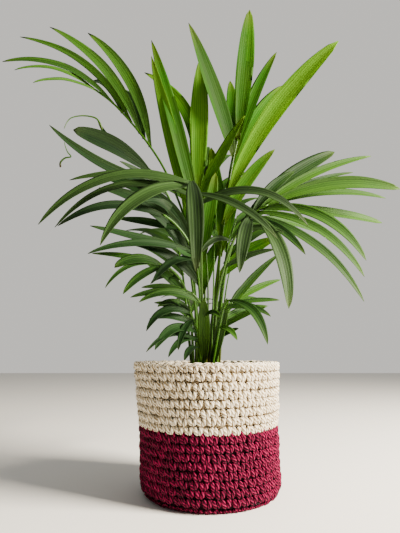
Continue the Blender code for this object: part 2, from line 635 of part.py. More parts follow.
def main():
    """Builds the basket, the nursery pot, the soil and every frond."""
    for obj in list(bpy.data.objects):
        bpy.data.objects.remove(obj)
    palm = new_collection("potted_areca_palm")
    drains = new_collection("drain_cutters")
    holes = new_collection("soil_cutters")
    blades = new_collection("leaf_blades")
    yarn_cream = material("cream_yarn", COLOURS["cream"], 0.9)
    yarn_burgundy = material("burgundy_yarn", COLOURS["burgundy"], 0.9)
    plastic = material("black_plastic", COLOURS["pot"], 0.55)
    earth = material("earth", COLOURS["soil"], 1.0)
    fronds = all_fronds()
    finish(basket_upper(palm), yarn_cream)
    finish(basket_lower(palm), yarn_burgundy)
    finish(nursery_pot(palm, drains), plastic, 35)
    finish(potting_soil(palm, holes, fronds), earth)
    for name, frond in fronds.items():
        leaf = material(name + "_green", COLOURS["leaf"], 0.45)
        finish(grow_frond(name, frond, palm, blades), leaf, 50)


main()
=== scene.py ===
"""Looks of a potted areca palm in a two-colour crocheted basket.

Metres, +Z up. The origin lies on the basket's base, under the middle of its rim, and -Y is the
plant's front.
"""

from __future__ import annotations

import logging
import math
import random
from dataclasses import dataclass
from enum import Enum
from typing import Callable

import bmesh
import bpy
from mathutils import Matrix, Vector, noise


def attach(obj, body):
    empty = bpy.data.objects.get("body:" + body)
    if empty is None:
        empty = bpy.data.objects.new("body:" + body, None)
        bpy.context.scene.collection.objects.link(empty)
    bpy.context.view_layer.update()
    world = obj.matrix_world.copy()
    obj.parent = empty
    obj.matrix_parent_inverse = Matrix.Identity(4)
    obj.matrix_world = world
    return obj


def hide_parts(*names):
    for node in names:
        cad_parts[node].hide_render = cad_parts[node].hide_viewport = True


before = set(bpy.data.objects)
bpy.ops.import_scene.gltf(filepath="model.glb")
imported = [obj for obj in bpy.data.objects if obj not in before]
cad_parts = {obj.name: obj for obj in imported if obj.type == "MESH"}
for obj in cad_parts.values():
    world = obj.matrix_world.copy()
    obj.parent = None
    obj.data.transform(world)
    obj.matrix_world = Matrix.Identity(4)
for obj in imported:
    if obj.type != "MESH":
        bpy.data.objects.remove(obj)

log = logging.getLogger("palm")
MM = 0.001
UP = Vector((0.0, 0.0, 1.0))
BODY = "root"
# Two vertices closer than this are one.
SAME_PLACE = 1e-6
# A Mix node of colours has its two colours at these inputs and its result at this output.
COLOUR_A, COLOUR_B, COLOUR_OUT = 6, 7, 2

Pair = tuple[float, float]
Point = tuple[float, float, float]
Inputs = dict[str | int, object]


def srgb(hex_colour: str) -> tuple[float, float, float, float]:
    """Turns an sRGB hex colour into linear light.

    Args:
        hex_colour: Six hex digits, such as "8a1f3c".

    Returns:
        The linear red, green, blue and alpha.
    """
    parts = [int(hex_colour[i:i + 2], 16) / 255 for i in (0, 2, 4)]
    linear = [c / 12.92 if c <= 0.04045 else ((c + 0.055) / 1.055) ** 2.4 for c in parts]
    return (linear[0], linear[1], linear[2], 1.0)


def feed(node: bpy.types.Node, inputs: Inputs) -> None:
    """Sets or links a node's input sockets.

    Args:
        node: The node.
        inputs: For each socket, by name or number: a constant, the output that feeds it, or a node
            whose first output feeds it.
    """
    for name, source in inputs.items():
        if isinstance(source, bpy.types.Node):
            source = source.outputs[0]
        if isinstance(source, bpy.types.NodeSocket):
            node.id_data.links.new(source, node.inputs[name])
        else:
            node.inputs[name].default_value = source


def add_node(tree: bpy.types.NodeTree, kind: str, inputs: Inputs | None = None,
             **settings: object) -> bpy.types.Node:
    """Adds one node with its settings, its sockets' values and its incoming links.

    Args:
        tree: The node tree to add to.
        kind: Blender's name for the node type, without ShaderNode in front.
        inputs: What its input sockets get, as in feed.
        **settings: The node's own properties.

    Returns:
        The new node.
    """
    node = tree.nodes.new("ShaderNode" + kind)
    for name, value in settings.items():
        setattr(node, name, value)
    feed(node, inputs or {})
    return node


def set_ramp(node: bpy.types.Node, stops: list[tuple[float, str]]) -> None:
    """Gives a colour ramp its stops.

    Args:
        node: The colour ramp node.
        stops: Places from 0 to 1 with their hex colours, in order.
    """
    elements = node.color_ramp.elements
    while len(elements) < len(stops):
        elements.new(0.5)
    for element, (place, colour) in zip(elements, stops):
        element.position = place
        element.color = srgb(colour)


def new_material(name: str, constants: Inputs) -> tuple[bpy.types.Material, bpy.types.Node]:
    """Starts a material.

    Args:
        name: The material's name.
        constants: The shader's sockets that are the same all over, with their values.

    Returns:
        The material and its Principled shader.
    """
    material = bpy.data.materials.new(name)
    material.use_nodes = True
    shader = material.node_tree.nodes["Principled BSDF"]
    feed(shader, constants)
    return material, shader


@dataclass(frozen=True)
class YarnFinish:
    """Plied cotton yarn, worked tight. It is matte, with a faint bloom of loose fibre ends.

    Each leg of a stitch shows the yarn's strands as slanting lines, with painted shade in the
    grooves between them and a painted highlight on their crests. Its ends tuck in between the
    neighbours, where painted shade darkens the yarn, and the tone shifts a little from stitch to
    stitch.
    """

    name: str
    pale: str
    body: str
    groove_shade: str
    strands: float = 4.0
    turns: float = 2.8
    waver: float = 2.4
    contrast: float = 0.68
    mottle: float = 0.40
    start_shade: float = -0.30
    end_shade: float = -0.42
    fibre_mm: float = 0.8
    strand_depth_mm: float = 0.7

    def build(self) -> bpy.types.Material:
        """Makes the yarn's material.

        Returns:
            The new material.
        """
        material, shader = new_material(
            self.name, {"Roughness": 0.95, "Specular IOR Level": 0.12, "Sheen Weight": 0.02})
        tree = material.node_tree
        uv = add_node(tree, "UVMap", uv_map="yarn")
        split = add_node(tree, "SeparateXYZ", {0: uv})
        place = add_node(tree, "TexCoord").outputs["Object"]
        tone = add_node(tree, "Attribute", attribute_name="tone").outputs["Fac"]
        # Fibres are about 0.02 mm and strands about 1 mm, too fine to show, so the fuzz is drawn at
        # fibre_mm and each leg has fewer strands than real yarn.
        fuzz = add_node(tree, "TexNoise", {"Vector": place, "Scale": 1 / (self.fibre_mm * MM),
                                           "Detail": 3.0, "Roughness": 0.65})
        around = add_node(tree, "Math", {0: split, 1: math.tau * self.strands}, operation="MULTIPLY")
        slant = add_node(tree, "Math", {0: split.outputs[1], 1: math.tau * self.turns, 2: around},
                         operation="MULTIPLY_ADD")
        loose = add_node(tree, "Math", {0: fuzz, 1: self.waver, 2: slant}, operation="MULTIPLY_ADD")
        strand = add_node(tree, "Math", {0: loose}, operation="SINE")
        ridge = add_node(tree, "MapRange", {"Value": strand, "From Min": -1.0})
        # Painted shade: each leg is darkened towards both ends, where it tucks in between its neighbours.
        ends = add_node(tree, "MapRange",
                        {"Value": split.outputs[1], "From Min": 0.70, "To Max": self.end_shade},
                        interpolation_type="SMOOTHSTEP")
        start = add_node(tree, "MapRange",
                         {"Value": split.outputs[1], "From Min": 0.20, "From Max": 0.0,
                          "To Max": self.start_shade}, interpolation_type="SMOOTHSTEP")
        painted_end_shade = add_node(tree, "Math", {0: ends, 1: start}, operation="ADD")
        mixed = add_node(tree, "Math", {0: fuzz, 1: self.mottle, 2: tone}, operation="MULTIPLY_ADD")
        lined = add_node(tree, "Math", {0: ridge, 1: self.contrast, 2: mixed},
                         operation="MULTIPLY_ADD")
        shade = add_node(tree, "Math", {0: lined, 1: painted_end_shade}, operation="ADD")
        # The ramp's darkest colour is painted shade and its palest a painted highlight: the strands'
        # grooves and the tucked ends fall dark and their crests pale, while the fuzz and the random tone
        # add the yarn's own unevenness.
        colour = add_node(tree, "ValToRGB", {0: shade})
        set_ramp(colour, [(0.22, self.groove_shade), (0.68, self.body), (1.0, self.pale)])
        height = add_node(tree, "Math", {0: fuzz, 1: 0.7, 2: ridge}, operation="MULTIPLY_ADD")
        bump = add_node(tree, "Bump", {"Height": height, "Strength": 1.0,
                                       "Distance": self.strand_depth_mm * MM})
        feed(shader, {"Base Color": colour, "Normal": bump})
        return material


@dataclass(frozen=True)
class LeafFinish:
    """A palm leaflet: thin, tough, with a waxy skin over lengthwise veins.

    The wax gives soft highlights that run along the blade. The colour is fresher in young leaves,
    paler where the blade leaves its stalk, and dry at the very tips of old ones. Streaks along the
    veins, folds and ribs take on a lighter colour, and each blade's tone lightens or darkens it:
    partly the leaf's own colour, partly painted light and shade.
    """

    name: str
    root: str
    body: str
    light: str
    tip: str
    dry: str = "8a7434"
    underside: str = "26331a"
    underside_share: float = 0.30
    roughness: float = 0.55
    gloss: float = 0.1
    vein_mm: float = 2.0
    vein_length_mm: float = 145.0
    fold_mm: float = 4.5
    fold_length_mm: float = 200.0
    rib_mm: float = 2.4
    patch_mm: float = 22.0
    relief_mm: float = 0.3

    def build(self) -> bpy.types.Material:
        """Makes the leaf's material.

        Returns:
            The new material.
        """
        material, shader = new_material(self.name, {"Specular IOR Level": self.gloss})
        tree = material.node_tree
        place = add_node(tree, "TexCoord").outputs["Object"]
        tone, along, dryness, under = [
            add_node(tree, "Attribute", attribute_name=name).outputs["Fac"]
            for name in ("tone", "along", "dry", "under")]
        # The leaf map is in metres, across the blade and along it. Real veins lie about 0.5 mm apart,
        # too close to show, so they are drawn vein_mm apart.
        uv = add_node(tree, "UVMap", uv_map="leaf")
        lengthwise = []
        for wide, long, detail in ((self.vein_mm, self.vein_length_mm, 2.0),
                                   (self.fold_mm, self.fold_length_mm, 1.0)):
            stretched = add_node(tree, "Mapping",
                                 {"Vector": uv, "Scale": (1 / (wide * MM), 1 / (long * MM), 1.0)})
            lengthwise.append(add_node(tree, "TexNoise", {"Vector": stretched, "Scale": 1.0,
                                                          "Detail": detail}))
        veins, folds = lengthwise
        split = add_node(tree, "SeparateXYZ", {0: uv})
        spaced = add_node(tree, "Math", {0: split, 1: math.tau / (self.rib_mm * MM)},
                          operation="MULTIPLY")
        uneven = add_node(tree, "Math", {0: folds, 1: 2.0, 2: spaced}, operation="MULTIPLY_ADD")
        wave = add_node(tree, "Math", {0: uneven}, operation="SINE")
        ribs = add_node(tree, "MapRange", {"Value": wave, "From Min": 0.2, "To Max": 0.5},
                        interpolation_type="SMOOTHSTEP")
        patches = add_node(tree, "TexNoise",
                           {"Vector": place, "Scale": 1 / (self.patch_mm * MM), "Detail": 2.0})
        length = add_node(tree, "ValToRGB", {0: along})
        set_ramp(length, [(0.0, self.root), (0.2, self.body), (0.8, self.body), (1.0, self.tip)])
        streak = add_node(tree, "Math", {0: veins, 1: 0.8, 2: tone}, operation="MULTIPLY_ADD")
        both = add_node(tree, "Math", {0: folds, 1: streak}, operation="ADD")
        ribbed = add_node(tree, "Math", {0: both, 1: ribs}, operation="ADD")
        # Painted light and shade: the blade's tone holds the light or shade each leaflet is given, and
        # sets how much of the light colour its streaks take.
        spread = add_node(tree, "MapRange", {"Value": ribbed, "From Min": 0.85, "From Max": 1.95})
        shaded = add_node(tree, "MapRange", {"Value": patches, "From Min": 0.35, "From Max": 0.7,
                                             "To Max": 0.3})
        below = add_node(tree, "Math", {0: under, 1: self.underside_share}, operation="MULTIPLY")
        colour = length.outputs[0]
        for share, second in ((spread, self.light), (shaded, self.root), (below, self.underside),
                              (dryness, self.dry)):
            mixed = add_node(tree, "Mix", {0: share, COLOUR_A: colour, COLOUR_B: srgb(second)},
                             data_type="RGBA")
            colour = mixed.outputs[COLOUR_OUT]
        # Painted light and shade: the tone also lightens or darkens the whole blade.
        painted_light_level = add_node(tree, "MapRange", {"Value": tone, "From Min": -0.6, "From Max": 1.2,
                                             "To Min": 0.35, "To Max": 1.8})
        lit = add_node(tree, "HueSaturation", {"Color": colour, "Value": painted_light_level})
        gloss = add_node(tree, "MapRange", {"Value": folds, "To Min": self.roughness - 0.08,
                                            "To Max": self.roughness + 0.14})
        relief = add_node(tree, "Math", {0: folds, 1: 4.0, 2: ribs}, operation="MULTIPLY_ADD")
        bump = add_node(tree, "Bump", {"Height": relief, "Strength": 0.5,
                                       "Distance": self.relief_mm * MM})
        feed(shader, {"Base Color": lit, "Roughness": gloss, "Normal": bump})
        return material


@dataclass(frozen=True)
class StalkFinish:
    """A leaf stalk: smooth and round, fresh green above, with a papery brown sheath at its foot."""

    name: str
    foot: str
    low: str
    high: str
    fibre_mm: float = 0.5
    fibre_length_mm: float = 16.0
    blotch_mm: float = 9.0
    relief_mm: float = 0.2

    def build(self) -> bpy.types.Material:
        """Makes the stalk's material.

        Returns:
            The new material.
        """
        material, shader = new_material(self.name, {"Roughness": 0.38, "Specular IOR Level": 0.22})
        tree = material.node_tree
        uv = add_node(tree, "UVMap", uv_map="stalk")
        split = add_node(tree, "SeparateXYZ", {0: uv})
        place = add_node(tree, "TexCoord").outputs["Object"]
        # Fibres of the sheath run along the stalk, about half a millimetre apart.
        fine = 1 / (self.fibre_mm * MM)
        stretched = add_node(tree, "Mapping", {"Vector": place,
                                               "Scale": (fine, fine, 1 / (self.fibre_length_mm * MM))})
        fibres = add_node(tree, "TexNoise", {"Vector": stretched, "Scale": 1.0, "Detail": 2.0})
        blotches = add_node(tree, "TexNoise",
                            {"Vector": place, "Scale": 1 / (self.blotch_mm * MM), "Detail": 3.0})
        ragged = add_node(tree, "Math", {0: blotches, 1: 0.16, 2: split.outputs[1]},
                          operation="MULTIPLY_ADD")
        colour = add_node(tree, "ValToRGB", {0: ragged})
        set_ramp(colour, [(0.10, self.foot), (0.26, self.low), (0.45, self.high), (1.0, self.high)])
        streaks = add_node(tree, "Mix", {0: 0.55, COLOUR_A: colour, COLOUR_B: fibres.outputs["Color"]},
                           data_type="RGBA", blend_type="MULTIPLY")
        light = add_node(tree, "HueSaturation", {"Color": streaks.outputs[COLOUR_OUT], "Value": 1.2})
        bump = add_node(tree, "Bump", {"Height": fibres, "Strength": 0.35,
                                       "Distance": self.relief_mm * MM})
        feed(shader, {"Base Color": light, "Normal": bump})
        return material


@dataclass(frozen=True)
class SoilFinish:
    """Peat-based potting mix: dark, slightly damp crumbs that scatter light and hardly shine."""

    name: str = "peat_potting_mix"
    dark: str = "20160f"
    body: str = "3a2a1d"
    pale: str = "6a5138"
    crumb_mm: float = 2.2
    relief_mm: float = 1.0

    def build(self) -> bpy.types.Material:
        """Makes the soil's material.

        Returns:
            The new material.
        """
        material, shader = new_material(self.name, {"Roughness": 0.95})
        tree = material.node_tree
        place = add_node(tree, "TexCoord").outputs["Object"]
        crumbs = add_node(tree, "TexVoronoi", {"Vector": place, "Scale": 1 / (self.crumb_mm * MM)})
        grain = add_node(tree, "TexNoise",
                         {"Vector": place, "Scale": 2 / (self.crumb_mm * MM), "Detail": 5.0})
        mixed = add_node(tree, "Math", {0: crumbs, 1: 0.5, 2: grain}, operation="MULTIPLY_ADD")
        colour = add_node(tree, "ValToRGB", {0: mixed})
        set_ramp(colour, [(0.35, self.dark), (0.7, self.body), (0.95, self.pale)])
        bump = add_node(tree, "Bump", {"Height": mixed, "Strength": 0.9,
                                       "Distance": self.relief_mm * MM})
        feed(shader, {"Base Color": colour, "Normal": bump})
        return material


@dataclass(frozen=True)
class PlasticFinish:
    """Thin injection-moulded polypropylene: satin black with fine scuffs and a dusty bloom."""

    name: str = "moulded_polypropylene"
    body: str = "23241f"
    dust: str = "4a463c"
    scuff_mm: float = 3.0
    relief_mm: float = 0.1

    def build(self) -> bpy.types.Material:
        """Makes the pot's material.

        Returns:
            The new material.
        """
        material, shader = new_material(self.name, {"IOR": 1.49})
        tree = material.node_tree
        place = add_node(tree, "TexCoord").outputs["Object"]
        scuffs = add_node(tree, "TexNoise", {"Vector": place, "Scale": 1 / (self.scuff_mm * MM),
                                             "Detail": 6.0, "Roughness": 0.7})
        colour = add_node(tree, "ValToRGB", {0: scuffs})
        set_ramp(colour, [(0.45, self.body), (0.75, self.dust)])
        rough = add_node(tree, "MapRange", {"Value": scuffs, "To Min": 0.38, "To Max": 0.7})
        bump = add_node(tree, "Bump", {"Height": scuffs, "Strength": 0.2,
                                       "Distance": self.relief_mm * MM})
        feed(shader, {"Base Color": colour, "Roughness": rough, "Normal": bump})
        return material


@dataclass(frozen=True)
class FloorFinish:
    """A plain, pale, matte floor."""

    name: str = "plain_floor"
    body: str = "f4f2ec"

    def build(self) -> bpy.types.Material:
        """Makes the floor's material."""
        return new_material(self.name, {"Base Color": srgb(self.body), "Roughness": 0.75})[0]


def smooth_route(points: list[Point], steps: int = 12) -> list[Vector]:
    """Draws a smooth curve through points.

    Args:
        points: The points that the curve passes through.
        steps: Points on each stretch between two of them.

    Returns:
        Closely spaced points along the curve.
    """
    knots = [Vector(point) for point in points]
    knots = [2 * knots[0] - knots[1]] + knots + [2 * knots[-1] - knots[-2]]
    route = []
    for before, start, end, after in zip(knots, knots[1:], knots[2:], knots[3:]):
        for step in range(steps):
            t = step / steps
            route.append(0.5 * (2 * start + (end - before) * t
                                + (2 * before - 5 * start + 4 * end - after) * t ** 2
                                + (3 * start - before - 3 * end + after) * t ** 3))
    return route + [knots[-2]]


def between(span: Pair, share: float) -> float:
    """Gives the value at a share of the way from a span's first end to its second."""
    return span[0] + (span[1] - span[0]) * share


def point_along(route: list[Vector], share: float) -> tuple[Vector, Vector]:
    """Finds a place on a route.

    Args:
        route: Closely spaced points.
        share: Share of the route's length, from 0 to 1.

    Returns:
        The point and the direction of the route there.
    """
    lengths = [(b - a).length for a, b in zip(route, route[1:])]
    left = share * sum(lengths)
    for start, end, length in zip(route, route[1:], lengths):
        if left <= length:
            return start.lerp(end, left / length), (end - start).normalized()
        left -= length
    return route[-1], (route[-1] - route[-2]).normalized()


def start_mesh(uv_name: str, *layers: str) -> bmesh.types.BMesh:
    """Starts an empty mesh with a UV map and float layers.

    Args:
        uv_name: The UV map's name.
        *layers: Names of float layers on the vertices.

    Returns:
        The empty mesh.
    """
    work = bmesh.new()
    work.loops.layers.uv.new(uv_name)
    for layer in layers:
        work.verts.layers.float.new(layer)
    return work


def set_value(work: bmesh.types.BMesh, layer: str, vertices: list[bmesh.types.BMVert],
              value: float) -> None:
    """Writes one value into a float layer of some vertices.

    Args:
        work: The mesh.
        layer: The layer's name.
        vertices: The vertices to set.
        value: The value.
    """
    key = work.verts.layers.float[layer]
    for vertex in vertices:
        vertex[key] = value


def spin_profile(work: bmesh.types.BMesh, profile: list[Pair], sides: int) -> None:
    """Fills an empty mesh with a profile's full turn about the Z axis, its faces outwards.

    Args:
        work: The empty mesh.
        profile: The outline's (radius, height) points. It runs from axis to axis, or off the axis it
            is closed into a ring.
        sides: Sides all round.
    """
    made = [work.verts.new((r, 0.0, z)) for r, z in profile]
    edges = [work.edges.new(pair) for pair in zip(made, made[1:])]
    if profile[0][0] > 0:
        edges.append(work.edges.new((made[-1], made[0])))
    bmesh.ops.spin(work, geom=made + edges, cent=(0, 0, 0), axis=(0, 0, 1), steps=sides,
                   angle=math.tau, use_merge=True)
    bmesh.ops.remove_doubles(work, verts=work.verts[:], dist=SAME_PLACE)
    bmesh.ops.recalc_face_normals(work, faces=work.faces[:])


def add_tube(work: bmesh.types.BMesh, route: list[Vector], radius: Callable[[float], float],
             around: int, rings: int) -> list[bmesh.types.BMVert]:
    """Adds a round tube with closed ends: a sphere drawn out along a route.

    Args:
        work: The mesh to add to, with an active UV layer.
        route: Closely spaced points that the tube follows.
        radius: Gives the radius at a share of the length.
        around: Sides of the tube.
        rings: Stretches along the tube.

    Returns:
        The tube's vertices.
    """
    made = bmesh.ops.create_uvsphere(work, u_segments=around, v_segments=rings, radius=1.0,
                                     calc_uvs=True)["verts"]
    frames = []
    across = UP.cross(route[1] - route[0])
    across = across if across.length > 1e-9 else Vector((1.0, 0.0, 0.0))
    for ring in range(rings + 1):
        centre, ahead = point_along(route, ring / rings)
        across = (across - ahead * across.dot(ahead)).normalized()
        frames.append((centre, across.copy(), ahead.cross(across)))
    for vertex in made:
        share = 1 - math.acos(max(-1.0, min(1.0, vertex.co.z))) / math.pi
        centre, side, other = frames[round(share * rings)]
        flat = Vector((vertex.co.x, vertex.co.y))
        size = radius(share) if flat.length > SAME_PLACE else 0.0
        flat = flat.normalized() * size if size else flat
        vertex.co = centre + side * flat.x + other * flat.y
    return made


def add_copies(work: bmesh.types.BMesh, pattern: bmesh.types.BMesh,
               places: list[tuple[Matrix, float]]) -> None:
    """Adds copies of a small mesh that has a tone layer.

    Args:
        work: The mesh to add to.
        pattern: The small mesh, which is used up.
        places: Where each copy goes, and its tone.
    """
    template = bpy.data.meshes.new("pattern")
    pattern.to_mesh(template)
    pattern.free()
    for place, tone in places:
        copied = template.copy()
        copied.transform(place)
        copied.attributes["tone"].data.foreach_set("value", [tone] * len(copied.vertices))
        work.from_mesh(copied)
        bpy.data.meshes.remove(copied)
    bpy.data.meshes.remove(template)


def make_piece(name: str, work: bmesh.types.BMesh, material: bpy.types.Material,
               node: str, smooth: bool = True) -> bpy.types.Object:
    """Turns a finished mesh into a piece of the object, riding on its only body.

    Args:
        name: The piece's name.
        work: The mesh, which is used up.
        material: The piece's material.
        node: The CAD node that the piece stands for, alone or with others.
        smooth: Whether faces are shaded smooth.

    Returns:
        The new object.
    """
    mesh = bpy.data.meshes.new(name)
    work.to_mesh(mesh)
    work.free()
    mesh.materials.append(material)
    if smooth:
        mesh.shade_smooth()
    piece = bpy.data.objects.new(name, mesh)
    bpy.context.scene.collection.objects.link(piece)
    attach(piece, BODY)
    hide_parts(node)
    log.info("%s: %d faces", name, len(mesh.polygons))
    return piece


@dataclass
class Basket:
    """The crocheted tub: rounds of V-shaped stitches over a wall, a chained rim and a base.

    yarn is the yarn's radius, and what is set back lies that many yarn radii inside the stitches'
    crests. A play is how far a stitch may stray, a size pair is a range, and a tone pair is a mean
    with its spread. Legs are the points of the yarn's path, in millimetres.
    """

    height: float = 0.144
    rim_radius: float = 0.0795
    waist_radius: float = 0.0763
    belly_radius: float = 0.0768
    belly_height: float = 0.021
    slouch: float = 0.005
    base_radius: float = 0.0635
    base_thickness: float = 0.005
    base_lift: float = 0.0015
    base_edge: float = 0.004
    wall: float = 0.006
    wall_foot: float = 0.004
    wall_set_back: float = 1.55
    lining_crest: float = 0.0008
    lining_groove: float = 0.0011
    lining_steps: int = 6
    colour_line: float = 0.0765
    seam_drop: float = 0.001
    seam_gap: float = 0.0002
    round_height: float = 0.0085
    first_cream_round: float = 0.0022
    burgundy_rounds: int = 9
    cream_rounds: int = 8
    stitches: int = 50
    shift_per_round: float = 0.42
    yarn: float = 0.0021
    base_yarn: float = 0.0013
    leg_mm: tuple[Point, ...] = ((2.5, 1.7, 4.4), (2.95, 0.0, 3.1), (2.65, -1.05, 0.9),
                                 (1.65, -1.25, -1.8), (0.6, -0.6, -4.3))
    leg_play_mm: Point = (0.22, 0.18, 0.26)
    leg_flatness: float = 0.85
    stitch_set_back: float = 0.95
    slope_reach: float = 0.002
    turn_play: float = 0.09
    height_play: float = 0.0003
    sway: float = 0.0004
    sways: int = 3
    tilt: float = 0.10
    widths: Pair = (0.90, 1.06)
    depths: Pair = (0.80, 1.25)
    heights: Pair = (0.94, 1.10)
    chain_drop: float = 0.0035
    chain_rows: Pair = (0.0018, 0.0046)
    spike_leg_mm: tuple[Pair, ...] = ((0.8, -4.2), (-0.4, -1.2), (0.4, 1.6), (1.6, 3.6))
    spike_set_back: float = 0.7
    base_margin: float = 0.007
    # Painted shade: the wall behind the stitches takes a lower tone than they do, so it shows darker in
    # the gaps.
    recess_shade_tone: float = 0.16
    stitch_tone: Pair = (0.24, 0.05)
    base_tone: Pair = (0.34, 0.07)
    spike_tone: Pair = (0.36, 0.08)
    rim_tone: Pair = (0.40, 0.08)
    patterns: int = 5
    seed: int = 11
    cream: YarnFinish = YarnFinish("cream_cotton_yarn", "fcf4e0", "d8c298", "4c3018")
    burgundy: YarnFinish = YarnFinish("burgundy_cotton_yarn", "980a46", "44001b", "14000a",
                                      contrast=0.6, mottle=0.25)

    def wall_radius(self, height: float) -> float:
        """Gives the outer radius at a height: a belly low down, a waist, and a wider rim.

        Args:
            height: Height above the base.

        Returns:
            The radius of the stitches' crests.
        """
        if height < self.belly_height:
            share = min(1.0, max(0.0, 1 - height / self.belly_height))
            grow = math.sqrt(1 - share ** 4)
            return self.base_radius + (self.belly_radius - self.base_radius) * grow
        if height < self.colour_line:
            share = (height - self.belly_height) / (self.colour_line - self.belly_height)
            fall = (1 - math.cos(math.pi * share)) / 2
            return self.belly_radius + (self.waist_radius - self.belly_radius) * fall
        share = (height - self.colour_line) / (self.height - self.colour_line)
        return self.waist_radius + (self.rim_radius - self.waist_radius) * share

    def leg_radius(self, share: float) -> float:
        """Gives the radius of a stitch's leg: plump above the middle, and pulled thin below."""
        return self.yarn * (0.92 + 0.42 * math.sin(2.6 * share + 0.45) - 0.32 * share)

    def stitch(self, rng: random.Random) -> bmesh.types.BMesh:
        """Makes one stitch lying in the XZ plane and facing -Y: two plump legs that meet below.

        Args:
            rng: Gives the small differences between stitches.

        Returns:
            The stitch's mesh.
        """
        work = start_mesh("yarn", "tone")
        for side in (-1, 1):
            points = []
            for x, y, z in self.leg_mm:
                strayed = [at + rng.gauss(0, play)
                           for at, play in zip((side * x, y, z), self.leg_play_mm)]
                points.append(Vector(strayed) * MM)
            for vertex in add_tube(work, smooth_route(points, steps=5), self.leg_radius,
                                   around=7, rings=5):
                vertex.co.y *= self.leg_flatness
        return work

    def crochet(self, work: bmesh.types.BMesh, first: int, count: int) -> None:
        """Adds rounds of stitches to a mesh.

        Args:
            work: The mesh to add to.
            first: Number of the lowest round, counted from the base.
            count: How many rounds there are.
        """
        rng = random.Random(self.seed + first)
        places: list[list[tuple[Matrix, float]]] = [[] for _ in range(self.patterns)]
        for number in range(first, first + count):
            above = (number - self.burgundy_rounds) * self.round_height
            height = self.colour_line + self.first_cream_round + above
            phase = rng.uniform(0, math.tau)
            for index in range(self.stitches):
                turn = (index + number * self.shift_per_round
                        + rng.uniform(-self.turn_play, self.turn_play))
                sway = self.sway * math.sin(self.sways * math.tau * index / self.stitches + phase)
                z = height + sway + rng.uniform(-self.height_play, self.height_play)
                rise = self.wall_radius(z + self.slope_reach) - self.wall_radius(z - self.slope_reach)
                radius = self.wall_radius(z) - self.yarn * self.stitch_set_back
                size = (rng.uniform(*self.widths) * radius / self.waist_radius,
                        rng.uniform(*self.depths), rng.uniform(*self.heights), 1.0)
                place = (Matrix.Rotation(math.tau * turn / self.stitches, 4, "Z")
                         @ Matrix.Translation((0.0, -radius, z))
                         @ Matrix.Rotation(math.atan(rise / (2 * self.slope_reach)), 4, "X")
                         @ Matrix.Rotation(rng.gauss(0.0, self.tilt), 4, "Y")
                         @ Matrix.Diagonal(size))
                group = places[rng.randrange(self.patterns)]
                group.append((place, rng.gauss(*self.stitch_tone)))
        for group in places:
            add_copies(work, self.stitch(rng), group)

    def backing(self, profile: list[Pair]) -> bmesh.types.BMesh:
        """Starts a half with the wall behind its stitches.

        Args:
            profile: The wall's outline, as spin_profile takes it.

        Returns:
            The half's mesh.
        """
        work = start_mesh("yarn", "tone")
        spin_profile(work, profile, 2 * self.stitches)
        uv = work.loops.layers.uv["yarn"]
        for face in work.faces:
            for loop in face.loops:
                angle = math.atan2(loop.vert.co.y, loop.vert.co.x)
                loop[uv].uv = (loop.vert.co.z / (3 * self.yarn), angle * self.stitches / 9)
        # Painted shade: the set-back wall is darkened.
        set_value(work, "tone", work.verts, self.recess_shade_tone)
        return work

    def wall_outline(self, low: float, high: float) -> list[Pair]:
        """Draws a stretch of wall behind the stitches, with a groove for each round inside.

        Args:
            low: The lower end's height.
            high: The upper end's height.

        Returns:
            The outline's (radius, height) points, up the outside and down the inside.
        """
        outer, inner = [], []
        steps = round((high - low) / self.round_height * self.lining_steps)
        for index in range(steps + 1):
            z = low + (high - low) * index / steps
            outer.append((self.wall_radius(z) - self.yarn * self.wall_set_back, z))
            wave = abs(math.sin(math.pi * (z - self.colour_line) / self.round_height))
            lining = self.wall - self.lining_crest + self.lining_groove * wave
            inner.append((self.wall_radius(z) - lining, z))
        return outer + inner[::-1]

    def rim(self, work: bmesh.types.BMesh) -> None:
        """Adds the chain along the top edge: two loops of yarn lean together over each stitch.

        Args:
            work: The mesh to add to.
        """
        rng = random.Random(self.seed)
        step = math.tau / self.stitches
        for row, inside in zip((1, -1), self.chain_rows):
            points = []
            for share, out_mm, z_mm in ((-0.65, 0.0, -2.8), (-0.25, 0.81, -1.6), (0.25, 0.54, -1.4),
                                        (0.65, -0.63, -2.4)):
                r = self.rim_radius - inside + row * out_mm * MM
                points.append((r * math.sin(share * step), -r * math.cos(share * step), z_mm * MM))
            loop = start_mesh("yarn", "tone")
            add_tube(loop, smooth_route(points, steps=5),
                     lambda s: self.yarn * (0.5 + 0.32 * math.sin(math.pi * s)), around=7, rings=5)
            places = [(Matrix.Rotation(step * number, 4, "Z")
                       @ Matrix.Translation((0, 0, self.height + rng.uniform(-0.0008, 0.0002))),
                       rng.gauss(*self.rim_tone)) for number in range(self.stitches)]
            add_copies(work, loop, places)

    def lean(self, work: bmesh.types.BMesh) -> None:
        """Slouches a finished half to one side, and flattens it where it stands.

        Args:
            work: The mesh to change.
        """
        for vertex in work.verts:
            vertex.co.z = max(vertex.co.z, 0.0)
            vertex.co.x += self.slouch * (1 - vertex.co.z / self.height)

    def spikes(self, work: bmesh.types.BMesh) -> None:
        """Adds the burgundy points that reach up between the lowest cream stitches.

        Args:
            work: The mesh to add to.
        """
        rng = random.Random(self.seed + 70)
        pattern = start_mesh("yarn", "tone")
        points = [(0.0, y * MM, z * MM) for y, z in self.spike_leg_mm]
        add_tube(pattern, smooth_route(points, steps=4), lambda s: self.yarn * (1.0 - 0.55 * s),
                 around=6, rings=4)
        radius = self.wall_radius(self.colour_line) - self.yarn * self.spike_set_back
        first = 0.5 + self.burgundy_rounds * self.shift_per_round
        places = []
        for number in range(self.stitches):
            turn = first + number + rng.uniform(-0.08, 0.08)
            z = self.colour_line + rng.uniform(-0.0012, 0.0004)
            places.append((Matrix.Rotation(math.tau * turn / self.stitches, 4, "Z")
                           @ Matrix.Translation((0.0, -radius, z))
                           @ Matrix.Rotation(rng.gauss(0.0, 0.14), 4, "Y"),
                           rng.gauss(*self.spike_tone)))
        add_copies(work, pattern, places)

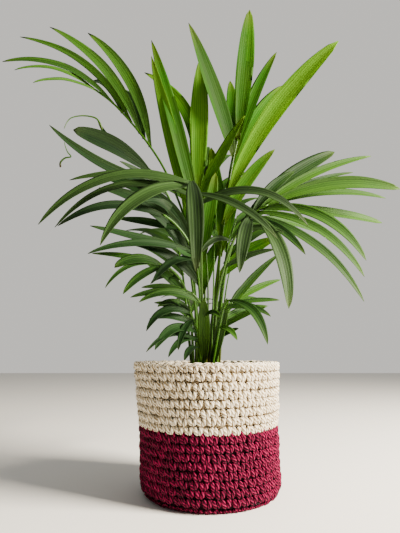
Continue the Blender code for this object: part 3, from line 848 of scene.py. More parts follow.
    def base(self, work: bmesh.types.BMesh) -> None:
        """Adds the flat rounds of stitches under the basket.

        Args:
            work: The mesh to add to.
        """
        rng = random.Random(self.seed + 50)
        rounds = round(self.base_radius / self.round_height)
        for index in range(rounds):
            radius = (index + 0.5) * (self.base_radius - self.base_margin) / rounds
            count = 6 * (index + 1)
            spread = math.pi * radius / count
            leg_pair = start_mesh("yarn", "tone")
            for side in (-1, 1):
                points = [(side * spread * share, out_mm * MM - radius, z_mm * MM)
                          for share, out_mm, z_mm in ((0.7, -4.6, 2.0), (0.5, -1.0, 1.3),
                                                      (0.1, 4.0, 2.0))]
                add_tube(leg_pair, smooth_route(points, steps=4),
                         lambda s: self.base_yarn * (0.6 + 0.4 * math.sin(math.pi * s)),
                         around=5, rings=4)
            places = [(Matrix.Rotation(math.tau * (number + 0.3 * index) / count, 4, "Z"),
                       rng.gauss(*self.base_tone)) for number in range(count)]
            add_copies(work, leg_pair, places)

    def upper(self) -> None:
        """Builds the cream half: the wall, its rounds of stitches and the rim."""
        work = self.backing(self.wall_outline(self.colour_line - self.seam_drop,
                                              self.height - self.chain_drop))
        self.crochet(work, self.burgundy_rounds, self.cream_rounds)
        self.rim(work)
        self.lean(work)
        make_piece("basket_upper_crochet", work, self.cream.build(),
                   "basket_upper_cream")

    def lower(self) -> None:
        """Builds the burgundy half: the wall with its floor, rounds of stitches and the base."""
        bottom = [(0.0, self.base_lift), (self.base_radius - self.base_edge, self.base_lift)]
        sides = self.wall_outline(self.wall_foot, self.colour_line - self.seam_drop - self.seam_gap)
        floor = [(self.base_radius - self.wall, self.base_thickness), (0.0, self.base_thickness)]
        work = self.backing(bottom + sides + floor)
        self.crochet(work, 0, self.burgundy_rounds)
        self.spikes(work)
        self.base(work)
        self.lean(work)
        make_piece("basket_lower_crochet", work, self.burgundy.build(),
                   "basket_lower_burgundy")

    def build(self) -> None:
        """Builds the whole basket."""
        self.upper()
        self.lower()


@dataclass
class NurseryPot:
    """The thin grower's pot inside the basket, with a lip round its mouth."""

    floor: float = 0.0053
    foot_radius: float = 0.054
    mouth_radius: float = 0.0665
    lip_radius: float = 0.0695
    lip_height: float = 0.007
    lip_edge: float = 0.0012
    height: float = 0.122
    wall: float = 0.0015
    finish: PlasticFinish = PlasticFinish()

    def build(self) -> None:
        """Builds the pot."""
        top = self.floor + self.height
        lip = top - self.lip_height
        inner = self.mouth_radius - self.wall
        edge = self.lip_edge
        work = bmesh.new()
        spin_profile(work, [(0.0, self.floor), (self.foot_radius, self.floor),
                            (self.mouth_radius, lip), (self.lip_radius - edge / 2, lip),
                            (self.lip_radius, lip + edge * 2 / 3), (self.lip_radius, top - edge),
                            (self.lip_radius - edge, top), (inner + edge * 2 / 3, top),
                            (inner, top - edge), (self.foot_radius - self.wall, self.floor + self.wall),
                            (0.0, self.floor + self.wall)], 96)
        piece = make_piece("nursery_pot_shell", work, self.finish.build(),
                           "nursery_pot")
        piece.data.set_sharp_from_angle(angle=math.radians(40))


@dataclass
class Soil:
    """The potting mix in the pot: a crumbly, slightly crowned surface."""

    top: float = 0.118
    crown: float = 0.003
    radius: float = 0.0640
    bottom: float = 0.0076
    bottom_radius: float = 0.0520
    lid_rings: int = 22
    ring_width: float = 0.0028
    clods_per_metre: float = 190.0
    clod_height: float = 0.0011
    crumbs: int = 420
    crumb_sizes: Pair = (0.0006, 0.0019)
    seed: int = 4
    finish: SoilFinish = SoilFinish()

    def surface(self, x: float, y: float) -> float:
        """Gives the soil's height at a place.

        Args:
            x: Distance right of the axis.
            y: Distance behind the axis.

        Returns:
            The height of the surface there.
        """
        share = min(1.0, math.hypot(x, y) / self.radius)
        rough = noise.fractal(Vector((x, y, 0.0)) * self.clods_per_metre, 0.6, 2.1, 4)
        return self.top + self.crown * (1 - share ** 2) * 0.9 + self.clod_height * (rough - 0.3)

    def build(self) -> None:
        """Builds the soil and the loose crumbs on it."""
        rng = random.Random(self.seed)
        work = start_mesh("soil", "tone")
        bmesh.ops.create_cone(work, cap_ends=True, cap_tris=False, segments=96,
                              radius1=self.bottom_radius, radius2=self.radius,
                              depth=self.top - self.bottom)
        bmesh.ops.translate(work, verts=work.verts[:], vec=(0, 0, (self.top + self.bottom) / 2))
        lid = [f for f in work.faces if f.normal.z > 0.9]
        for _ in range(self.lid_rings):
            bmesh.ops.inset_region(work, faces=lid, thickness=self.ring_width)
        bmesh.ops.triangulate(work, faces=lid)
        for vertex in work.verts:
            if vertex.co.z > self.top - 0.001:
                vertex.co.z = self.surface(vertex.co.x, vertex.co.y)
        crumb = start_mesh("soil", "tone")
        bmesh.ops.create_icosphere(crumb, subdivisions=1, radius=1.0)
        places = []
        for _ in range(self.crumbs):
            angle = rng.uniform(0, math.tau)
            away = self.radius * 0.96 * math.sqrt(rng.random())
            x, y = away * math.cos(angle), away * math.sin(angle)
            size = rng.uniform(*self.crumb_sizes)
            shape = (size * rng.uniform(0.75, 1.2), size * rng.uniform(0.75, 1.2), size * 0.7, 1.0)
            places.append((Matrix.Translation((x, y, self.surface(x, y) + size * 0.3))
                           @ Matrix.Rotation(angle * 7, 4, "Z") @ Matrix.Diagonal(shape), 0.0))
        add_copies(work, crumb, places)
        make_piece("soil_surface", work, self.finish.build(), "potting_soil",
                   smooth=False)


class Tone(Enum):
    """The four greens of the leaves, which are lit and shaded copies of one green."""

    # BRIGHT carries painted light, DARK painted shade, GREY a painted grey sheen, and MID lies between.
    BRIGHT = "leaf_bright"
    MID = "leaf_mid"
    DARK = "leaf_dark"
    GREY = "leaf_grey_green"


# Lit and shaded copies of one leaf material: the young upright leaves carry painted light, the shaded
# leaf painted shade, and the waxy leaf's grey-green is a painted sheen on its upper sides; the grown leaf
# lies between.
LEAF_FINISHES = {
    Tone.BRIGHT: LeafFinish("young_lit_leaf", "4c6414", "2a6204", "548408", "54701a", gloss=0.05),
    Tone.MID: LeafFinish("grown_leaf", "28401a", "14300c", "345810", "2a4410"),
    Tone.DARK: LeafFinish("shaded_leaf", "16280f", "0a1c0a", "1a3412", "182c14"),
    Tone.GREY: LeafFinish("waxy_leaf_painted_sheen", "16280e", "0c1c06", "2c441c", "243618", gloss=0.12),
}


@dataclass(frozen=True)
class Leaflet:
    """One leaf blade: where it starts on the stalk, its tip, width, the rise of its middle, its turn
    in degrees, its fullness (0.75 is widest near the root, 1.3 has a blunt tip), and how much
    painted light (above 0) or painted shade (below 0) makes it lighter or darker than its neighbours.
    """

    at: float
    tip: Point
    width: float
    rise: float = 0.0
    turn: float = 0.0
    fullness: float = 0.9
    light: float = 0.0

    def width_share(self, s: float) -> float:
        """Gives the share of the full width: a narrow root, a wide middle and a point.

        Args:
            s: Share of the blade's length.

        Returns:
            The share of the width.
        """
        body = math.sin(math.pi * s ** self.fullness) ** (1.0 - 0.4 * self.fullness) if 0 < s < 1 else 0.0
        return max(body, 0.32 * (1 - s) ** 3, 0.02)


@dataclass
class Frond:
    """One frond: a stalk that stands in the soil, with leaflets along its upper part.

    Its blades are twisted by up to twist degrees, and their edges waved within the given ranges. A
    blade bows upwards, or along facing where the level share of its direction is below steep.
    """

    name: str
    tone: Tone
    foot: Pair
    stalk: list[Point]
    facing: Point
    leaflets: list[Leaflet]
    radius: float = 0.0021
    stalk_tip: float = 0.0011
    sheath: float = 0.25
    sheath_reach: float = 0.24
    hole_depth: float = 0.020
    collar: float = 0.005
    thickness: float = 0.0005
    fold: float = 0.22
    pleat: float = 0.05
    twist: float = 14.0
    steep: float = 0.35
    wave_heights: Pair = (0.02, 0.06)
    wave_counts: Pair = (1.4, 2.6)
    blade_tone: Pair = (0.30, 0.07)
    dryness: float = 0.05
    dry_tip: float = 0.12
    lengthwise: int = 20
    crosswise: int = 8

    def route(self) -> list[Vector]:
        """Draws the stalk's smooth route from its hole in the soil upwards.

        Returns:
            Closely spaced points along it.
        """
        surface = Soil.top + Soil.crown
        return smooth_route([(*self.foot, Soil.top - self.hole_depth), (*self.foot, surface),
                             (*self.foot, surface + self.collar)] + self.stalk)

    def stalk_radius(self, share: float) -> float:
        """Gives the stalk's radius: a wide clasping sheath at its foot, then a slow taper.

        Args:
            share: Share of the stalk's length.

        Returns:
            The radius there.
        """
        taper = 1 + (self.stalk_tip / self.radius - 1) * share ** 0.5
        clasp = self.sheath * math.exp(-(share / self.sheath_reach) ** 3)
        return self.radius * (taper + clasp)

    def bow(self, root: Vector, leaflet: Leaflet) -> Vector:
        """Finds the point that a blade's middle line bends towards, above its middle.

        Args:
            root: Where the blade starts.
            leaflet: The blade's sizes.

        Returns:
            The middle control point of the line.
        """
        chord = Vector(leaflet.tip) - root
        along = chord.normalized()
        up = UP - along * along.z
        if up.length < self.steep:
            facing = Vector(self.facing).normalized()
            up = facing - along * facing.dot(along)
        return root + chord * 0.5 + up.normalized() * (2 * leaflet.rise)

    def add_blade(self, work: bmesh.types.BMesh, root: Vector, leaflet: Leaflet,
                  rng: random.Random) -> None:
        """Adds one leaf blade: a pleated strip along a bowed line, with a real thickness.

        Args:
            work: The mesh to add to.
            root: Where the blade starts.
            leaflet: The blade's sizes.
            rng: Gives the small differences between blades.
        """
        facing = Vector(self.facing).normalized()
        tip = Vector(leaflet.tip)
        bend = self.bow(root, leaflet)
        twist = rng.uniform(-self.twist, self.twist)
        wave = rng.uniform(*self.wave_heights)
        phase = rng.uniform(0, math.tau)
        waves = rng.uniform(*self.wave_counts)
        # The tone is a random shift plus the leaflet's painted light or shade.
        tone = rng.gauss(*self.blade_tone) + leaflet.light
        dry = self.dryness * rng.random()
        made = bmesh.ops.create_grid(work, x_segments=self.lengthwise, y_segments=self.crosswise,
                                     size=1.0, calc_uvs=True)["verts"]
        faces = list({face for vertex in made for face in vertex.link_faces})
        uv = work.loops.layers.uv["leaf"]
        for face in faces:
            for loop in face.loops:
                s, across = loop[uv].uv
                wide = leaflet.width * math.sqrt(leaflet.width_share(s))
                loop[uv].uv = ((across - 0.5) * wide, s * (tip - root).length)
        layers = work.verts.layers.float
        for vertex in made:
            s = (vertex.co.x + 1) / 2
            across = vertex.co.y
            centre = root * (1 - s) ** 2 + bend * (2 * s * (1 - s)) + tip * s ** 2
            ahead = ((bend - root) * (1 - s) + (tip - bend) * s).normalized()
            side = facing.cross(ahead).normalized()
            normal = ahead.cross(side)
            turn = math.radians(leaflet.turn + twist * (s - 0.3))
            side, normal = (side * math.cos(turn) + normal * math.sin(turn),
                            normal * math.cos(turn) - side * math.sin(turn))
            half = leaflet.width / 2 * leaflet.width_share(s)
            pleat = self.pleat * math.cos(math.tau * across) * (1 - s)
            edge = wave * abs(across) * math.sin(math.tau * waves * s + phase)
            lift = abs(across) ** 1.2 * self.fold + pleat + edge
            vertex.co = centre + side * (across * half) + normal * (lift * half)
            vertex[layers["along"]] = s
            vertex[layers["tone"]] = tone
            dry_end = max(0.0, 1 - (1 - s) / self.dry_tip)
            vertex[layers["dry"]] = dry * dry_end + 0.1 * dry * abs(across) ** 8
        before = set(work.verts)
        bmesh.ops.solidify(work, geom=faces, thickness=self.thickness)
        added = list(set(work.verts) - before)
        lift = (sum((v.co for v in added), Vector()) / len(added)
                - sum((v.co for v in made), Vector()) / len(made)).dot(facing)
        set_value(work, "under", made if lift > 0 else added, 1.0)

    def blades(self, finish: bpy.types.Material) -> None:
        """Builds the frond's leaflets as one piece.

        Args:
            finish: The leaf material.
        """
        rng = random.Random(self.name)
        route = self.route()
        work = start_mesh("leaf", "tone", "along", "dry", "under")
        for leaflet in self.leaflets:
            self.add_blade(work, point_along(route, leaflet.at)[0], leaflet, rng)
        bmesh.ops.recalc_face_normals(work, faces=work.faces[:])
        make_piece(self.name + "_blades", work, finish, self.name)

    def stem(self, finish: bpy.types.Material) -> None:
        """Builds the frond's stalk.

        Args:
            finish: The stalk material.
        """
        work = start_mesh("stalk")
        add_tube(work, self.route(), self.stalk_radius, around=14, rings=56)
        make_piece(self.name + "_stalk", work, finish, self.name)


@dataclass
class BackFrond:
    """A frond behind the others. It leans back, and its leaflets follow a rule.

    Each span holds a value for the first leaflet and one for the last: where it starts on the stalk,
    how far it stands off it, in degrees, and the share of its length that it droops.
    """

    name: str
    foot: Pair
    stalk: list[Point]
    count: int
    length: float
    width: float
    seed: int
    facing: Point = (0.0, -0.55, 0.85)
    at_span: Pair = (0.60, 0.99)
    spread_span: Pair = (46.0, 8.0)
    droop_span: Pair = (0.12, 0.32)
    spread_play: float = 4.0
    rise: float = 0.10

    def frond(self) -> Frond:
        """Works out leaflets that alternate left and right and spread less to the stalk's end.

        Returns:
            The frond with its leaflets.
        """
        rng = random.Random(self.seed)
        made = Frond(self.name, Tone.MID, self.foot, self.stalk, self.facing, [])
        route = made.route()
        outward = 1 if self.foot[0] >= 0 else -1
        for index in range(self.count):
            share = index / (self.count - 1)
            at = between(self.at_span, share)
            root, ahead = point_along(route, at)
            side = ahead.cross(UP).normalized() * outward * (-1) ** index
            spread = math.radians(between(self.spread_span, share)
                                  + rng.uniform(-self.spread_play, self.spread_play))
            length = self.length * (0.72 + 0.28 * math.sin(math.pi * (0.2 + 0.7 * share)))
            ahead = Vector((ahead.x, ahead.y, 0.75 * ahead.z)).normalized()
            reach = ahead * math.cos(spread) + side * math.sin(spread)
            tip = root + reach * length - UP * (length * between(self.droop_span, share))
            width = self.width * rng.uniform(0.9, 1.1)
            made.leaflets.append(Leaflet(at, tuple(tip), width, self.rise * length))
        return made


def front_fronds() -> list[Frond]:
    """Lists the fronds that the front shows.

    Returns:
        The fronds, from the upright ones to those at the rim on each side.
    """
    return [
        Frond("frond_upright_middle", Tone.BRIGHT, (-0.0035, 0.000),
              [(-0.0045, 0.000, 0.165), (-0.006, 0.000, 0.210), (-0.009, 0.000, 0.280),
               (-0.010, 0.004, 0.330), (-0.011, 0.008, 0.360)],
              (0.0, -1.0, 0.25),
              [Leaflet(0.72, (-0.058, -0.030, 0.464), 0.017, -0.006, -15, 0.85, light=-0.1),
               Leaflet(0.80, (-0.060, -0.012, 0.494), 0.016, 0.011, 10, 0.85, light=-0.8),
               Leaflet(0.99, (-0.072, 0.022, 0.482), 0.014, 0.021, light=-0.2),
               Leaflet(0.90, (-0.006, -0.002, 0.482), 0.021, 0.0, 0, 1.0, light=-0.1),
               Leaflet(0.84, (0.042, -0.012, 0.412), 0.015, 0.003, -20, light=-0.1),
               Leaflet(0.45, (0.018, 0.016, 0.288), 0.014, 0.004, light=-0.5),
               Leaflet(0.55, (-0.030, 0.014, 0.395), 0.016, 0.0, 0, 1.0, light=-0.5),
               Leaflet(0.56, (0.010, -0.012, 0.350), 0.015, 0.0, 0, 1.2, light=-0.4)],
              radius=0.0032, sheath=0.75, sheath_reach=0.30),
        Frond("frond_upright_right", Tone.BRIGHT, (0.0039, 0.001),
              [(0.006, 0.003, 0.165), (0.010, 0.005, 0.215), (0.016, 0.005, 0.270),
               (0.022, 0.008, 0.320), (0.030, 0.011, 0.370), (0.037, 0.014, 0.402)],
              (0.1, -1.0, 0.25),
              [Leaflet(0.76, (0.1365, -0.034, 0.4765), 0.020, 0.014, 5, 1.2, light=0.45),
               Leaflet(0.66, (0.074, -0.014, 0.374), 0.015, 0.007, 20, light=-0.15),
               Leaflet(0.80, (0.098, 0.056, 0.489), 0.019, 0.010, 0, 1.1, light=-0.6),
               Leaflet(0.90, (0.086, 0.040, 0.519), 0.014, 0.006, light=-0.8),
               Leaflet(0.92, (-0.019, -0.028, 0.500), 0.021, 0.003, 15, 0.8, light=-0.75),
               Leaflet(0.97, (0.030, 0.046, 0.488), 0.017, 0.0, light=-0.55),
               Leaflet(0.99, (0.050, 0.012, 0.547), 0.020, 0.002, 0, 1.15, light=-0.55),
               Leaflet(0.45, (0.076, -0.005, 0.280), 0.015, 0.006, 0, 1.1, light=-0.3),
               Leaflet(0.54, (0.036, 0.022, 0.372), 0.018, 0.0, 0, 1.1, light=-0.5),
               Leaflet(0.60, (0.006, 0.018, 0.392), 0.017, 0.0, 0, 1.1, light=-0.4)],
              radius=0.0032, sheath=0.75, sheath_reach=0.30),
        Frond("frond_high_left", Tone.MID, (-0.008, 0.006),
              [(-0.009, 0.008, 0.165), (-0.012, 0.010, 0.215), (-0.021, 0.010, 0.293),
               (-0.042, 0.012, 0.352), (-0.067, 0.015, 0.395), (-0.104, 0.019, 0.440),
               (-0.134, 0.020, 0.464)],
              (-0.2, -0.85, 0.45),
              [Leaflet(0.75, (-0.139, 0.024, 0.530), 0.013, 0.016, 0, 1.05, light=0.15),
               Leaflet(0.80, (-0.180, 0.014, 0.529), 0.012, 0.017, 0, 1.0, light=0.15),
               Leaflet(0.84, (-0.223, 0.034, 0.533), 0.009, 0.021, light=0.2),
               Leaflet(0.92, (-0.230, 0.004, 0.482), 0.009, 0.020, 0, 1.25, light=0.05),
               Leaflet(0.97, (-0.184, -0.024, 0.440), 0.008, 0.008, light=0.4),
               Leaflet(0.99, (-0.210, -0.010, 0.463), 0.007, 0.012, 0, 1.2, light=0.4),
               Leaflet(0.78, (-0.118, 0.080, 0.500), 0.013, 0.012, light=-0.2),
               Leaflet(0.88, (-0.154, 0.078, 0.506), 0.012, 0.014, light=-0.2)]),
        Frond("frond_shaded_left", Tone.DARK, (-0.0105, -0.001),
              [(-0.011, -0.006, 0.165), (-0.012, -0.010, 0.200), (-0.020, -0.015, 0.255),
               (-0.033, -0.020, 0.302), (-0.047, -0.027, 0.330), (-0.062, -0.034, 0.344)],
              (-0.1, -0.95, 0.15),
              [Leaflet(0.98, (-0.132, -0.055, 0.373), 0.017, 0.006, 0, 1.3, light=-0.25),
               Leaflet(0.92, (-0.153, -0.062, 0.374), 0.010, -0.010, 0, 0.8),
               Leaflet(0.99, (-0.118, -0.014, 0.405), 0.006, -0.006, light=0.3),
               Leaflet(0.87, (-0.084, -0.066, 0.337), 0.007, 0.003, light=-0.1),
               Leaflet(0.82, (-0.122, -0.006, 0.350), 0.014, 0.006, light=0.1),
               Leaflet(0.94, (-0.088, 0.050, 0.356), 0.014, 0.008, light=-0.1),
               Leaflet(0.78, (-0.060, -0.060, 0.300), 0.012, 0.006, light=-0.2),
               Leaflet(0.70, (-0.085, 0.012, 0.322), 0.014, 0.012, light=-0.2)]),
        Frond("frond_front_arching", Tone.GREY, (0.000, -0.0075),
              [(-0.002, -0.020, 0.165), (-0.005, -0.036, 0.210), (-0.006, -0.060, 0.255),
               (-0.010, -0.088, 0.290), (-0.015, -0.110, 0.301)],
              (0.0, -0.85, 0.5),
              [Leaflet(0.97, (-0.0855, -0.138, 0.2375), 0.014, 0.014, 0, 0.75, light=0.35),
               Leaflet(0.98, (-0.142, -0.118, 0.260), 0.012, 0.022, light=0.3),
               Leaflet(0.94, (-0.124, -0.092, 0.308), 0.008, 0.010, light=0.3),
               Leaflet(0.99, (-0.010, -0.150, 0.214), 0.014, 0.014, 0, 1.0, light=-0.1),
               Leaflet(0.93, (0.056, -0.126, 0.246), 0.009, 0.008, light=-0.05),
               Leaflet(0.88, (0.086, -0.108, 0.262), 0.011, 0.021, 0, 0.8),
               Leaflet(0.91, (-0.133, -0.104, 0.262), 0.009, 0.024, 0, 0.75, light=0.1)]),
        Frond("frond_mid_left", Tone.DARK, (-0.0075, -0.008),
              [(-0.007, -0.012, 0.165), (-0.007, -0.016, 0.210), (-0.011, -0.022, 0.248),
               (-0.020, -0.030, 0.271), (-0.033, -0.038, 0.286), (-0.046, -0.045, 0.294)],
              (-0.1, -0.9, 0.35),
              [Leaflet(0.97, (-0.138, -0.082, 0.270), 0.011, 0.015, 0, 0.95, light=-0.2),
               Leaflet(0.77, (-0.114, -0.060, 0.277), 0.009, 0.000, light=0.15),
               Leaflet(0.76, (-0.113, -0.072, 0.247), 0.009, 0.010, light=0.1),
               Leaflet(0.70, (-0.108, -0.050, 0.318), 0.017, 0.019, light=-0.1),
               Leaflet(0.72, (-0.050, -0.090, 0.216), 0.010, 0.009),
               Leaflet(0.88, (-0.094, -0.024, 0.296), 0.009, 0.002, light=0.1),
               Leaflet(0.74, (-0.031, -0.052, 0.258), 0.007, -0.002, light=0.4),
               Leaflet(0.80, (-0.076, -0.030, 0.330), 0.014, 0.010, light=-0.2),
               Leaflet(0.62, (-0.062, -0.010, 0.312), 0.014, 0.008),
               Leaflet(0.60, (-0.072, -0.046, 0.262), 0.011, 0.010, light=-0.1)]),
        Frond("frond_low_left", Tone.MID, (-0.0145, -0.008),
              [(-0.015, -0.016, 0.165), (-0.018, -0.028, 0.200), (-0.024, -0.038, 0.223),
               (-0.036, -0.048, 0.237), (-0.050, -0.055, 0.241)],
              (-0.2, -0.9, 0.4),
              [Leaflet(0.96, (-0.087, -0.076, 0.233), 0.012, 0.007, 0, 1.25, light=-0.15),
               Leaflet(0.99, (-0.093, -0.088, 0.212), 0.006, 0.009, light=-0.15),
               Leaflet(0.94, (-0.076, -0.092, 0.206), 0.010, 0.005, light=-0.15),
               Leaflet(0.90, (-0.113, -0.056, 0.251), 0.007, 0.004),
               Leaflet(0.82, (-0.062, -0.004, 0.230), 0.010, 0.007, light=-0.2),
               Leaflet(0.70, (-0.070, -0.034, 0.252), 0.010, 0.004, light=-0.2),
               Leaflet(0.60, (-0.048, -0.062, 0.198), 0.010, 0.007, light=-0.1)]),
        Frond("frond_lower_left", Tone.MID, (-0.0035, -0.0145),
              [(-0.001, -0.027, 0.160), (-0.003, -0.038, 0.188), (-0.008, -0.045, 0.205),
               (-0.016, -0.050, 0.214)],
              (-0.1, -0.9, 0.4),
              [Leaflet(0.90, (-0.063, -0.082, 0.200), 0.010, 0.009, light=-0.1),
               Leaflet(0.97, (-0.064, -0.060, 0.217), 0.006, 0.004, light=-0.1),
               Leaflet(0.99, (-0.073, -0.070, 0.206), 0.007, 0.004, light=-0.15),
               Leaflet(0.76, (0.012, -0.078, 0.186), 0.007, 0.005, light=-0.1),
               Leaflet(0.35, (-0.003, -0.050, 0.207), 0.013, 0.0, 0, 1.3, light=0.35)]),
        Frond("frond_rim_left", Tone.DARK, (-0.0108, -0.0148),
              [(-0.009, -0.021, 0.145), (-0.009, -0.027, 0.165), (-0.012, -0.035, 0.183),
               (-0.018, -0.041, 0.196)],
              (-0.2, -0.9, 0.4),
              [Leaflet(0.98, (-0.058, -0.070, 0.174), 0.010, 0.011),
               Leaflet(0.85, (-0.056, -0.062, 0.186), 0.008, 0.005, light=0.1),
               Leaflet(0.76, (-0.049, -0.078, 0.156), 0.012, 0.012, light=0.4),
               Leaflet(0.66, (-0.056, -0.086, 0.154), 0.007, 0.012),
               Leaflet(0.90, (-0.028, -0.064, 0.156), 0.008, 0.006, light=0.1),
               Leaflet(0.60, (-0.022, -0.066, 0.146), 0.009, 0.005),
               Leaflet(0.70, (-0.038, -0.058, 0.149), 0.008, 0.007, light=0.4),
               Leaflet(0.94, (-0.050, -0.040, 0.202), 0.008, 0.005)]),
        Frond("frond_spreading_right", Tone.MID, (0.011, -0.002),
              [(0.013, -0.006, 0.165), (0.017, -0.012, 0.215), (0.023, -0.022, 0.252),
               (0.033, -0.031, 0.282), (0.047, -0.040, 0.296), (0.062, -0.048, 0.302)],
              (0.1, -0.95, 0.3),
              [Leaflet(0.86, (0.148, 0.014, 0.385), 0.017, 0.008, 0, 1.25, light=-0.25),
               Leaflet(0.92, (0.096, -0.010, 0.352), 0.012, 0.004, 0, 1.0, light=-0.3),
               Leaflet(0.95, (0.176, -0.020, 0.364), 0.009, 0.009, light=0.25),
               Leaflet(0.97, (0.172, 0.022, 0.365), 0.007, 0.006, light=-0.25),
               Leaflet(0.99, (0.192, -0.052, 0.316), 0.014, 0.013, 0, 1.2, light=0.3),
               Leaflet(0.98, (0.188, -0.028, 0.316), 0.008, 0.010, 0, 1.1, light=0.25),
               Leaflet(0.97, (0.194, -0.006, 0.297), 0.011, 0.004, 0, 1.3, light=0.25),
               Leaflet(0.96, (0.142, -0.092, 0.236), 0.013, 0.017, 0, 1.0, light=0.1),
               Leaflet(0.93, (0.146, -0.078, 0.224), 0.010, 0.016, 0, 1.05),
               Leaflet(0.91, (0.152, -0.062, 0.203), 0.010, 0.015, 0, 0.95, light=-0.2),
               Leaflet(0.88, (0.086, -0.098, 0.240), 0.010, 0.008, light=-0.3),
               Leaflet(0.84, (0.136, 0.040, 0.300), 0.012, 0.010, light=0.1)]),
        Frond("frond_front_right", Tone.GREY, (0.007, -0.0085),
              [(0.008, -0.013, 0.160), (0.010, -0.036, 0.205), (0.017, -0.058, 0.238),
               (0.028, -0.071, 0.266), (0.044, -0.080, 0.283)],
              (0.1, -0.9, 0.45),
              [Leaflet(0.99, (0.067, -0.118, 0.190), 0.014, 0.013, 0, 1.1, light=0.3),
               Leaflet(0.97, (0.026, -0.118, 0.220), 0.013, 0.007, light=-0.15),
               Leaflet(0.90, (0.066, -0.102, 0.258), 0.009, 0.003, light=0.3),
               Leaflet(0.84, (-0.006, -0.104, 0.240), 0.007, 0.007),
               Leaflet(0.72, (0.066, -0.060, 0.254), 0.007, 0.003)]),
        Frond("frond_low_right", Tone.MID, (0.014, 0.0055),
              [(0.014, 0.004, 0.150), (0.016, 0.003, 0.178), (0.021, 0.005, 0.197),
               (0.031, 0.009, 0.212)],
              (0.2, -0.9, 0.4),
              [Leaflet(0.84, (0.086, 0.025, 0.270), 0.009, 0.004, light=-0.1),
               Leaflet(0.94, (0.057, 0.016, 0.240), 0.009, 0.002, light=0.2),
               Leaflet(0.99, (0.090, 0.036, 0.242), 0.008, 0.003, light=0.25),
               Leaflet(0.97, (0.084, 0.010, 0.214), 0.006, 0.002),
               Leaflet(0.70, (0.066, -0.010, 0.204), 0.007, 0.003, light=0.1),
               Leaflet(0.62, (0.035, -0.014, 0.180), 0.006, 0.001, light=0.1),
               Leaflet(0.78, (0.070, 0.050, 0.206), 0.009, 0.006, light=-0.1)]),
        Frond("frond_rim_right", Tone.MID, (0.004, -0.0153),
              [(0.008, -0.022, 0.150), (0.013, -0.030, 0.178), (0.017, -0.038, 0.198),
               (0.023, -0.044, 0.208)],
              (0.1, -0.9, 0.45),
              [Leaflet(0.98, (0.055, -0.084, 0.161), 0.010, 0.012, light=-0.35),
               Leaflet(0.90, (0.064, -0.048, 0.190), 0.008, 0.006, light=-0.2),
               Leaflet(0.72, (0.030, -0.052, 0.166), 0.007, 0.004, light=0.1),
               Leaflet(0.30, (0.021, -0.035, 0.210), 0.011, 0.0, 0, 1.2, light=-0.1)]),
    ]


def back_fronds() -> list[Frond]:
    """Lists the fronds that lean back, behind the others.

    Returns:
        The fronds, with their leaflets worked out.
    """
    return [entry.frond() for entry in [
        BackFrond("frond_back_upright", (0.000, 0.0083),
                  [(0.000, 0.016, 0.165), (-0.001, 0.028, 0.230), (0.000, 0.044, 0.310),
                   (0.001, 0.064, 0.372), (0.002, 0.090, 0.414)],
                  count=8, length=0.108, width=0.018, seed=3),
        BackFrond("frond_back_left", (-0.015, 0.0055),
                  [(-0.019, 0.014, 0.165), (-0.024, 0.030, 0.215), (-0.031, 0.054, 0.268),
                   (-0.040, 0.084, 0.304), (-0.048, 0.116, 0.318)],
                  count=7, length=0.105, width=0.016, seed=5),
        BackFrond("frond_back_right", (0.0075, 0.0095),
                  [(0.011, 0.020, 0.165), (0.018, 0.036, 0.225), (0.028, 0.060, 0.286),
                   (0.040, 0.090, 0.328), (0.050, 0.122, 0.344)],
                  count=7, length=0.110, width=0.017, seed=8),
        BackFrond("frond_back_low_left", (-0.0065, 0.0135),
                  [(-0.010, 0.026, 0.160), (-0.016, 0.046, 0.196), (-0.022, 0.072, 0.220),
                   (-0.027, 0.098, 0.228)],
                  count=5, length=0.070, width=0.012, seed=13),
        BackFrond("frond_back_low_right", (0.0085, 0.0168),
                  [(0.014, 0.030, 0.160), (0.024, 0.050, 0.192), (0.034, 0.074, 0.214),
                   (0.042, 0.100, 0.222)],
                  count=5, length=0.075, width=0.012, seed=21),
    ]]


# Two thin strands at the left, one curled over and one hooked.
CURL = [(-0.096, -0.012, 0.379), (-0.105, -0.014, 0.388), (-0.112, -0.015, 0.394),
        (-0.115, -0.017, 0.401), (-0.120, -0.018, 0.406), (-0.132, -0.020, 0.407),
        (-0.143, -0.022, 0.404), (-0.148, -0.023, 0.399), (-0.151, -0.025, 0.390)]
HOOK = [(-0.153, -0.030, 0.347), (-0.1525, -0.031, 0.352), (-0.1475, -0.032, 0.356),
        (-0.141, -0.033, 0.357), (-0.144, -0.034, 0.361), (-0.146, -0.035, 0.366),
        (-0.147, -0.036, 0.371)]

# Thin bare stalks that stand among the fronds' own, from the soil up to the leaves' roots.
THIN_STALKS = [
    [(0.001, -0.004, 0.115), (0.001, -0.004, 0.160), (0.002, -0.002, 0.220), (0.000, 0.002, 0.265),
     (-0.003, 0.004, 0.310)],
    [(0.006, -0.006, 0.115), (0.006, -0.006, 0.160), (0.008, -0.003, 0.222), (0.009, 0.002, 0.270),
     (0.012, 0.004, 0.315)],
    [(0.008, 0.003, 0.115), (0.009, 0.003, 0.160), (0.013, 0.003, 0.220), (0.017, 0.004, 0.274),
     (0.024, 0.006, 0.325)],
    [(0.010, -0.004, 0.115), (0.012, -0.004, 0.160), (0.017, 0.000, 0.222), (0.026, 0.002, 0.274),
     (0.036, 0.004, 0.312)],
    [(0.014, 0.001, 0.115), (0.016, 0.001, 0.160), (0.022, 0.002, 0.222), (0.031, 0.004, 0.263),
     (0.042, 0.006, 0.292)],
    [(-0.012, 0.003, 0.115), (-0.012, 0.003, 0.165), (-0.014, 0.002, 0.222), (-0.023, 0.000, 0.270),
     (-0.036, -0.004, 0.305)],
]


